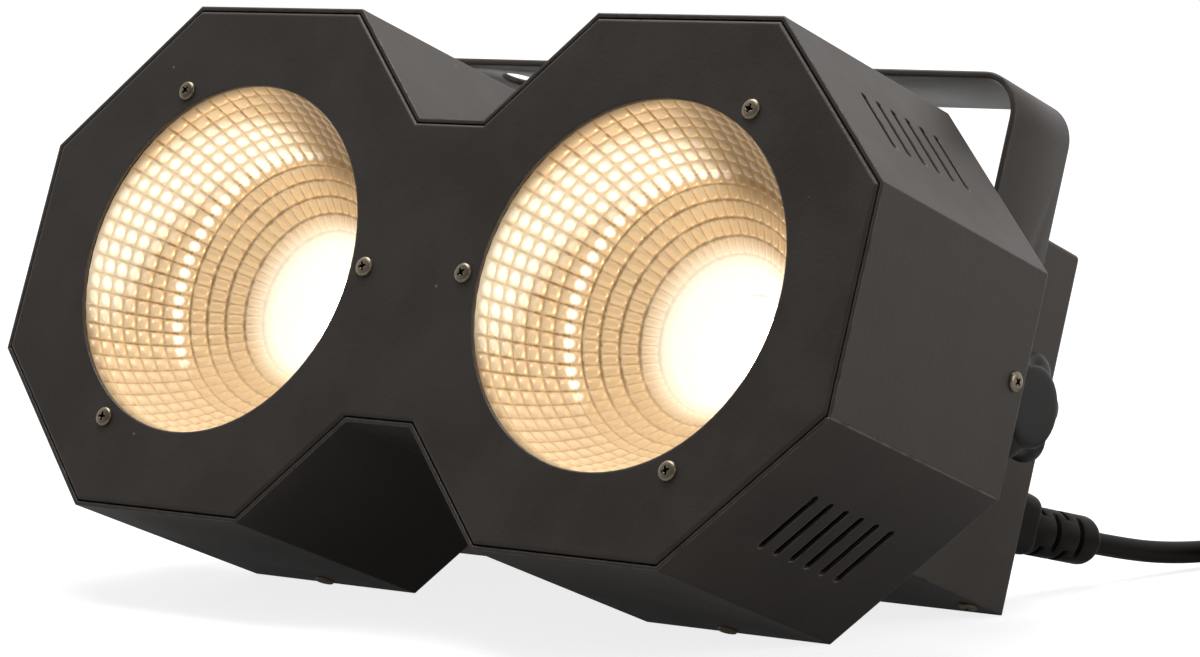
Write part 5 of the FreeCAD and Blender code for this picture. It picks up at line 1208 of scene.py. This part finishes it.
def shade_recess(screw, radius, height):
    """Gives the faces inside the cross recess the screw's second material, a near-black painted
    shade.
    """
    screw.data.materials.append(
        moulded_material("recess_shade", (0.006, 0.005, 0.004), 0.7, specular=0.1))
    for face in screw.data.polygons:
        middle = face.center
        if math.hypot(middle.x, middle.y) < radius and 0 < middle.z < height:
            face.material_index = 1


def screw_places():
    """Each set's screws: their places in the fixture's frame and the way they look."""
    side_x, flat_z, shell_y = 158.8, 79.35, 79.4
    socket_y, socket_z, eye_y = 156.4, -21, 157.4
    reach, rise = (SCREW_CIRCLE * part(math.radians(60)) for part in (math.cos, math.sin))
    front = []
    for sign in (-1, 1):
        front += [((sign * (LAMP_X - SCREW_CIRCLE), 0, 0), FORWARD),
                  ((sign * (LAMP_X + reach), 0, rise), FORWARD),
                  ((sign * (LAMP_X + reach), 0, -rise), FORWARD)]
    shell = [((-side_x, shell_y, 0), LEFTWARD), ((side_x, shell_y, 0), RIGHTWARD)]
    for sign in (-1, 1):
        shell += [((sign * LAMP_X, shell_y, flat_z), UPWARD),
                  ((sign * LAMP_X, shell_y, -flat_z), DOWNWARD)]
    rear = [((x + dx, socket_y, socket_z + dz), REARWARD)
            for x in (10, 50) for dx, dz in ((-9.5, 12), (9.5, -12))]
    rear += [((sign * 12, eye_y, 40), REARWARD) for sign in (-1, 1)]
    floor = [((sign * 113.8, HEAD_BACK + lip, -BOX_DOWN), DOWNWARD)
             for sign in (-1, 1) for lip in (8, 60)]
    return {"front_screws": front, "shell_screws": shell, "rear_screws": rear,
            "floor_screws": floor}


class OBJECT_OT_blinder_screws(Operator):
    """Model one pan screw and set it at every place"""
    bl_idname = "object.blinder_screws"
    bl_label = "Screws"

    def execute(self, context):
        sizes, colours = context.scene.blinder_sizes, context.scene.blinder_colours
        screw = dress(pan_screw(sizes), metal_material("nickel_screw", tuple(colours.screw), 0.34))
        shade_recess(screw, 2.0 * MM, 0.88 * sizes.screw_height)
        for name, places in screw_places().items():
            heads = []
            for number, (place, way) in enumerate(places):
                twist = rotation(17 + 37 * number, "Z")
                heads.append(copy_of(screw, f"{name}_{number}", spot(*place) @ way @ twist))
            stands_for(joined(f"{name}_set", heads), "fixture", "screw", name)
        bpy.data.objects.remove(screw)
        return {"FINISHED"}


def extents(piece):
    """The corners of a piece's box in the fixture's own frame."""
    back = STAND.inverted() @ piece.matrix_world
    points = [back @ vertex.co for vertex in piece.data.vertices]
    return (Vector([min(point[axis] for point in points) for axis in range(3)]),
            Vector([max(point[axis] for point in points) for axis in range(3)]))


class OBJECT_OT_blinder_yoke(Operator):
    """Model the yoke: a flat bar bent twice, with round feet and two clamp holes"""
    bl_idname = "object.blinder_yoke"
    bl_label = "Yoke"

    def execute(self, context):
        sizes = context.scene.blinder_sizes
        low, high = extents(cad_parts["yoke"])
        width, thick, beyond = high.y - low.y, sizes.strap_thick, 2 * MM
        middle_y, pivot_z = (low.y + high.y) / 2, low.z + width / 2
        foot_radius, pivot_radius = width / 2 - 0.12 * MM, 4.08 * MM
        bar = block("yoke_bar", low, high)
        round_edges(bar, lambda middle, way: abs(way.y) > width / 2 and middle.z > high.z - beyond,
                    sizes.strap_bend, 14)
        round_edges(bar, lambda middle, way: abs(way.x) > width and middle.z < low.z + beyond,
                    foot_radius, 14)
        hollow = block("hollow", (low.x + thick, low.y - beyond, low.z - beyond),
                       (high.x - thick, high.y + beyond, high.z - thick))
        round_edges(hollow, lambda middle, way: abs(way.y) > width / 2
                    and middle.z > high.z - thick - beyond, sizes.strap_bend - thick, 14)
        carve(bar, hollow)
        pivots = cylinder("pivots", pivot_radius, low.x - beyond, high.x + beyond, 40)
        carve(bar, settle(pivots, Matrix.Translation((0, middle_y, pivot_z)) @ rotation(90, "Y")))
        for across in (0, -sizes.clamp_offset):
            hole = cylinder("hole", sizes.clamp_radius, high.z - thick - beyond, high.z + beyond)
            carve(bar, settle(hole, Matrix.Translation((across, middle_y, 0))))
        blunt(bar, 0.25, degrees=50)
        smooth(settle(bar, STAND))
        dress(bar, bpy.data.materials["powder_coat"])
        stands_for(bar, "yoke", "housing", "yoke")
        return {"FINISHED"}


def flute(knob):
    """Draws in six flutes between the knob's lobes; each share belongs to the points that
    lie so many degrees beside a flute's middle."""
    hub = 12.5 * MM
    edit(knob, "VERT")
    for offset, share in ((0, 0.80), (5, 0.812), (10, 0.845), (15, 0.905), (20, 0.965),
                          (25, 0.992)):
        mesh = bmesh.from_edit_mesh(knob.data)
        bpy.ops.mesh.select_all(action="DESELECT")
        for vertex in mesh.verts:
            angle = math.degrees(math.atan2(vertex.co.y, vertex.co.x))
            from_flute = abs((angle + 30) % 60 - 30)
            if math.hypot(vertex.co.x, vertex.co.y) > hub and abs(from_flute - offset) < 1:
                vertex.select_set(True)
        mesh.select_flush_mode()
        bmesh.update_edit_mesh(knob.data)
        bpy.ops.transform.resize(value=(share, share, 1), center_override=(0, 0, 0))
    leave()


class OBJECT_OT_blinder_knobs(Operator):
    """Model the six-lobed knob and set one at each side"""
    bl_idname = "object.blinder_knobs"
    bl_label = "Knobs"

    def execute(self, context):
        sizes, colours = context.scene.blinder_sizes, context.scene.blinder_colours
        radius = sizes.knob_radius / MM
        knob = lathe("knob", [
            (8.2, 0.3), (8.5, 0.6), (8.5, 5.4), (9.0, 6.0), (12.6, 6.2), (0.88 * radius, 6.8),
            (0.97 * radius, 8.4), (radius, 10.4), (0.995 * radius, 12.6),
            (0.95 * radius, 14.6), (0.86 * radius, 16.1), (0.76 * radius, 16.9),
            (12.4, 17.2), (12.0, 17.4), (11.8, 18.0), (11.2, 18.4), (9.0, 18.5), (3.0, 18.5)], 72)
        flute(knob)
        modify(knob, "SUBSURF", levels=1, render_levels=1)
        smooth(settle(knob, rotation(43, "Z")), 50)
        dress(knob, moulded_material("soft_knob", tuple(colours.rubber), rough=0.46, peel=1.0,
                                     depth=0.012, specular=0.26))
        for side, way, x in (("left", LEFTWARD, -KNOB_X), ("right", RIGHTWARD, KNOB_X)):
            twin = copy_of(knob, f"star_knob_{side}", spot(x, PIVOT_Y, PIVOT_Z) @ way)
            stands_for(twin, f"knob_{side}", "knob", f"knob_{side}")
        bpy.data.objects.remove(knob)
        return {"FINISHED"}


CLASSES = (
    BlinderColours, BlinderSizes, BlinderStage, OBJECT_OT_blinder_stage,
    OBJECT_OT_blinder_connector, OBJECT_OT_blinder_mains_plug, OBJECT_OT_blinder_tie,
    OBJECT_OT_blinder_lead, OBJECT_OT_blinder_finishes, OBJECT_OT_blinder_reflectors,
    OBJECT_OT_blinder_lights, OBJECT_OT_blinder_screws, OBJECT_OT_blinder_yoke,
    OBJECT_OT_blinder_knobs)

STEPS = ("blinder_stage", "blinder_connector", "blinder_mains_plug", "blinder_tie",
         "blinder_lead", "blinder_finishes", "blinder_reflectors", "blinder_lights",
         "blinder_screws", "blinder_yoke", "blinder_knobs")


class VIEW3D_PT_blinder(Panel):
    """The blinder's sizes and colours, and one button for each group of pieces"""
    bl_label = "Audience blinder"
    bl_idname = "VIEW3D_PT_blinder"
    bl_space_type = "VIEW_3D"
    bl_region_type = "UI"
    bl_category = "Blinder"

    def draw(self, context):
        layout = self.layout
        for group in (context.scene.blinder_sizes, context.scene.blinder_colours,
                      context.scene.blinder_stage):
            column = layout.column(align=True)
            for name in group.bl_rna.properties.keys():
                if name not in ("rna_type", "name"):
                    column.prop(group, name)
        column = layout.column(align=True)
        for step in STEPS:
            column.operator(f"object.{step}")


def register():
    for made in (*CLASSES, VIEW3D_PT_blinder):
        bpy.utils.register_class(made)
    bpy.types.Scene.blinder_colours = PointerProperty(type=BlinderColours)
    bpy.types.Scene.blinder_sizes = PointerProperty(type=BlinderSizes)
    bpy.types.Scene.blinder_stage = PointerProperty(type=BlinderStage)


def unregister():
    for made in reversed((*CLASSES, VIEW3D_PT_blinder)):
        bpy.utils.unregister_class(made)
    del bpy.types.Scene.blinder_colours
    del bpy.types.Scene.blinder_sizes
    del bpy.types.Scene.blinder_stage


def main():
    register()
    make_grain()
    make_edges()
    make_dust()
    for step in STEPS:
        getattr(bpy.ops.object, step)()


if __name__ == "__main__":
    main()
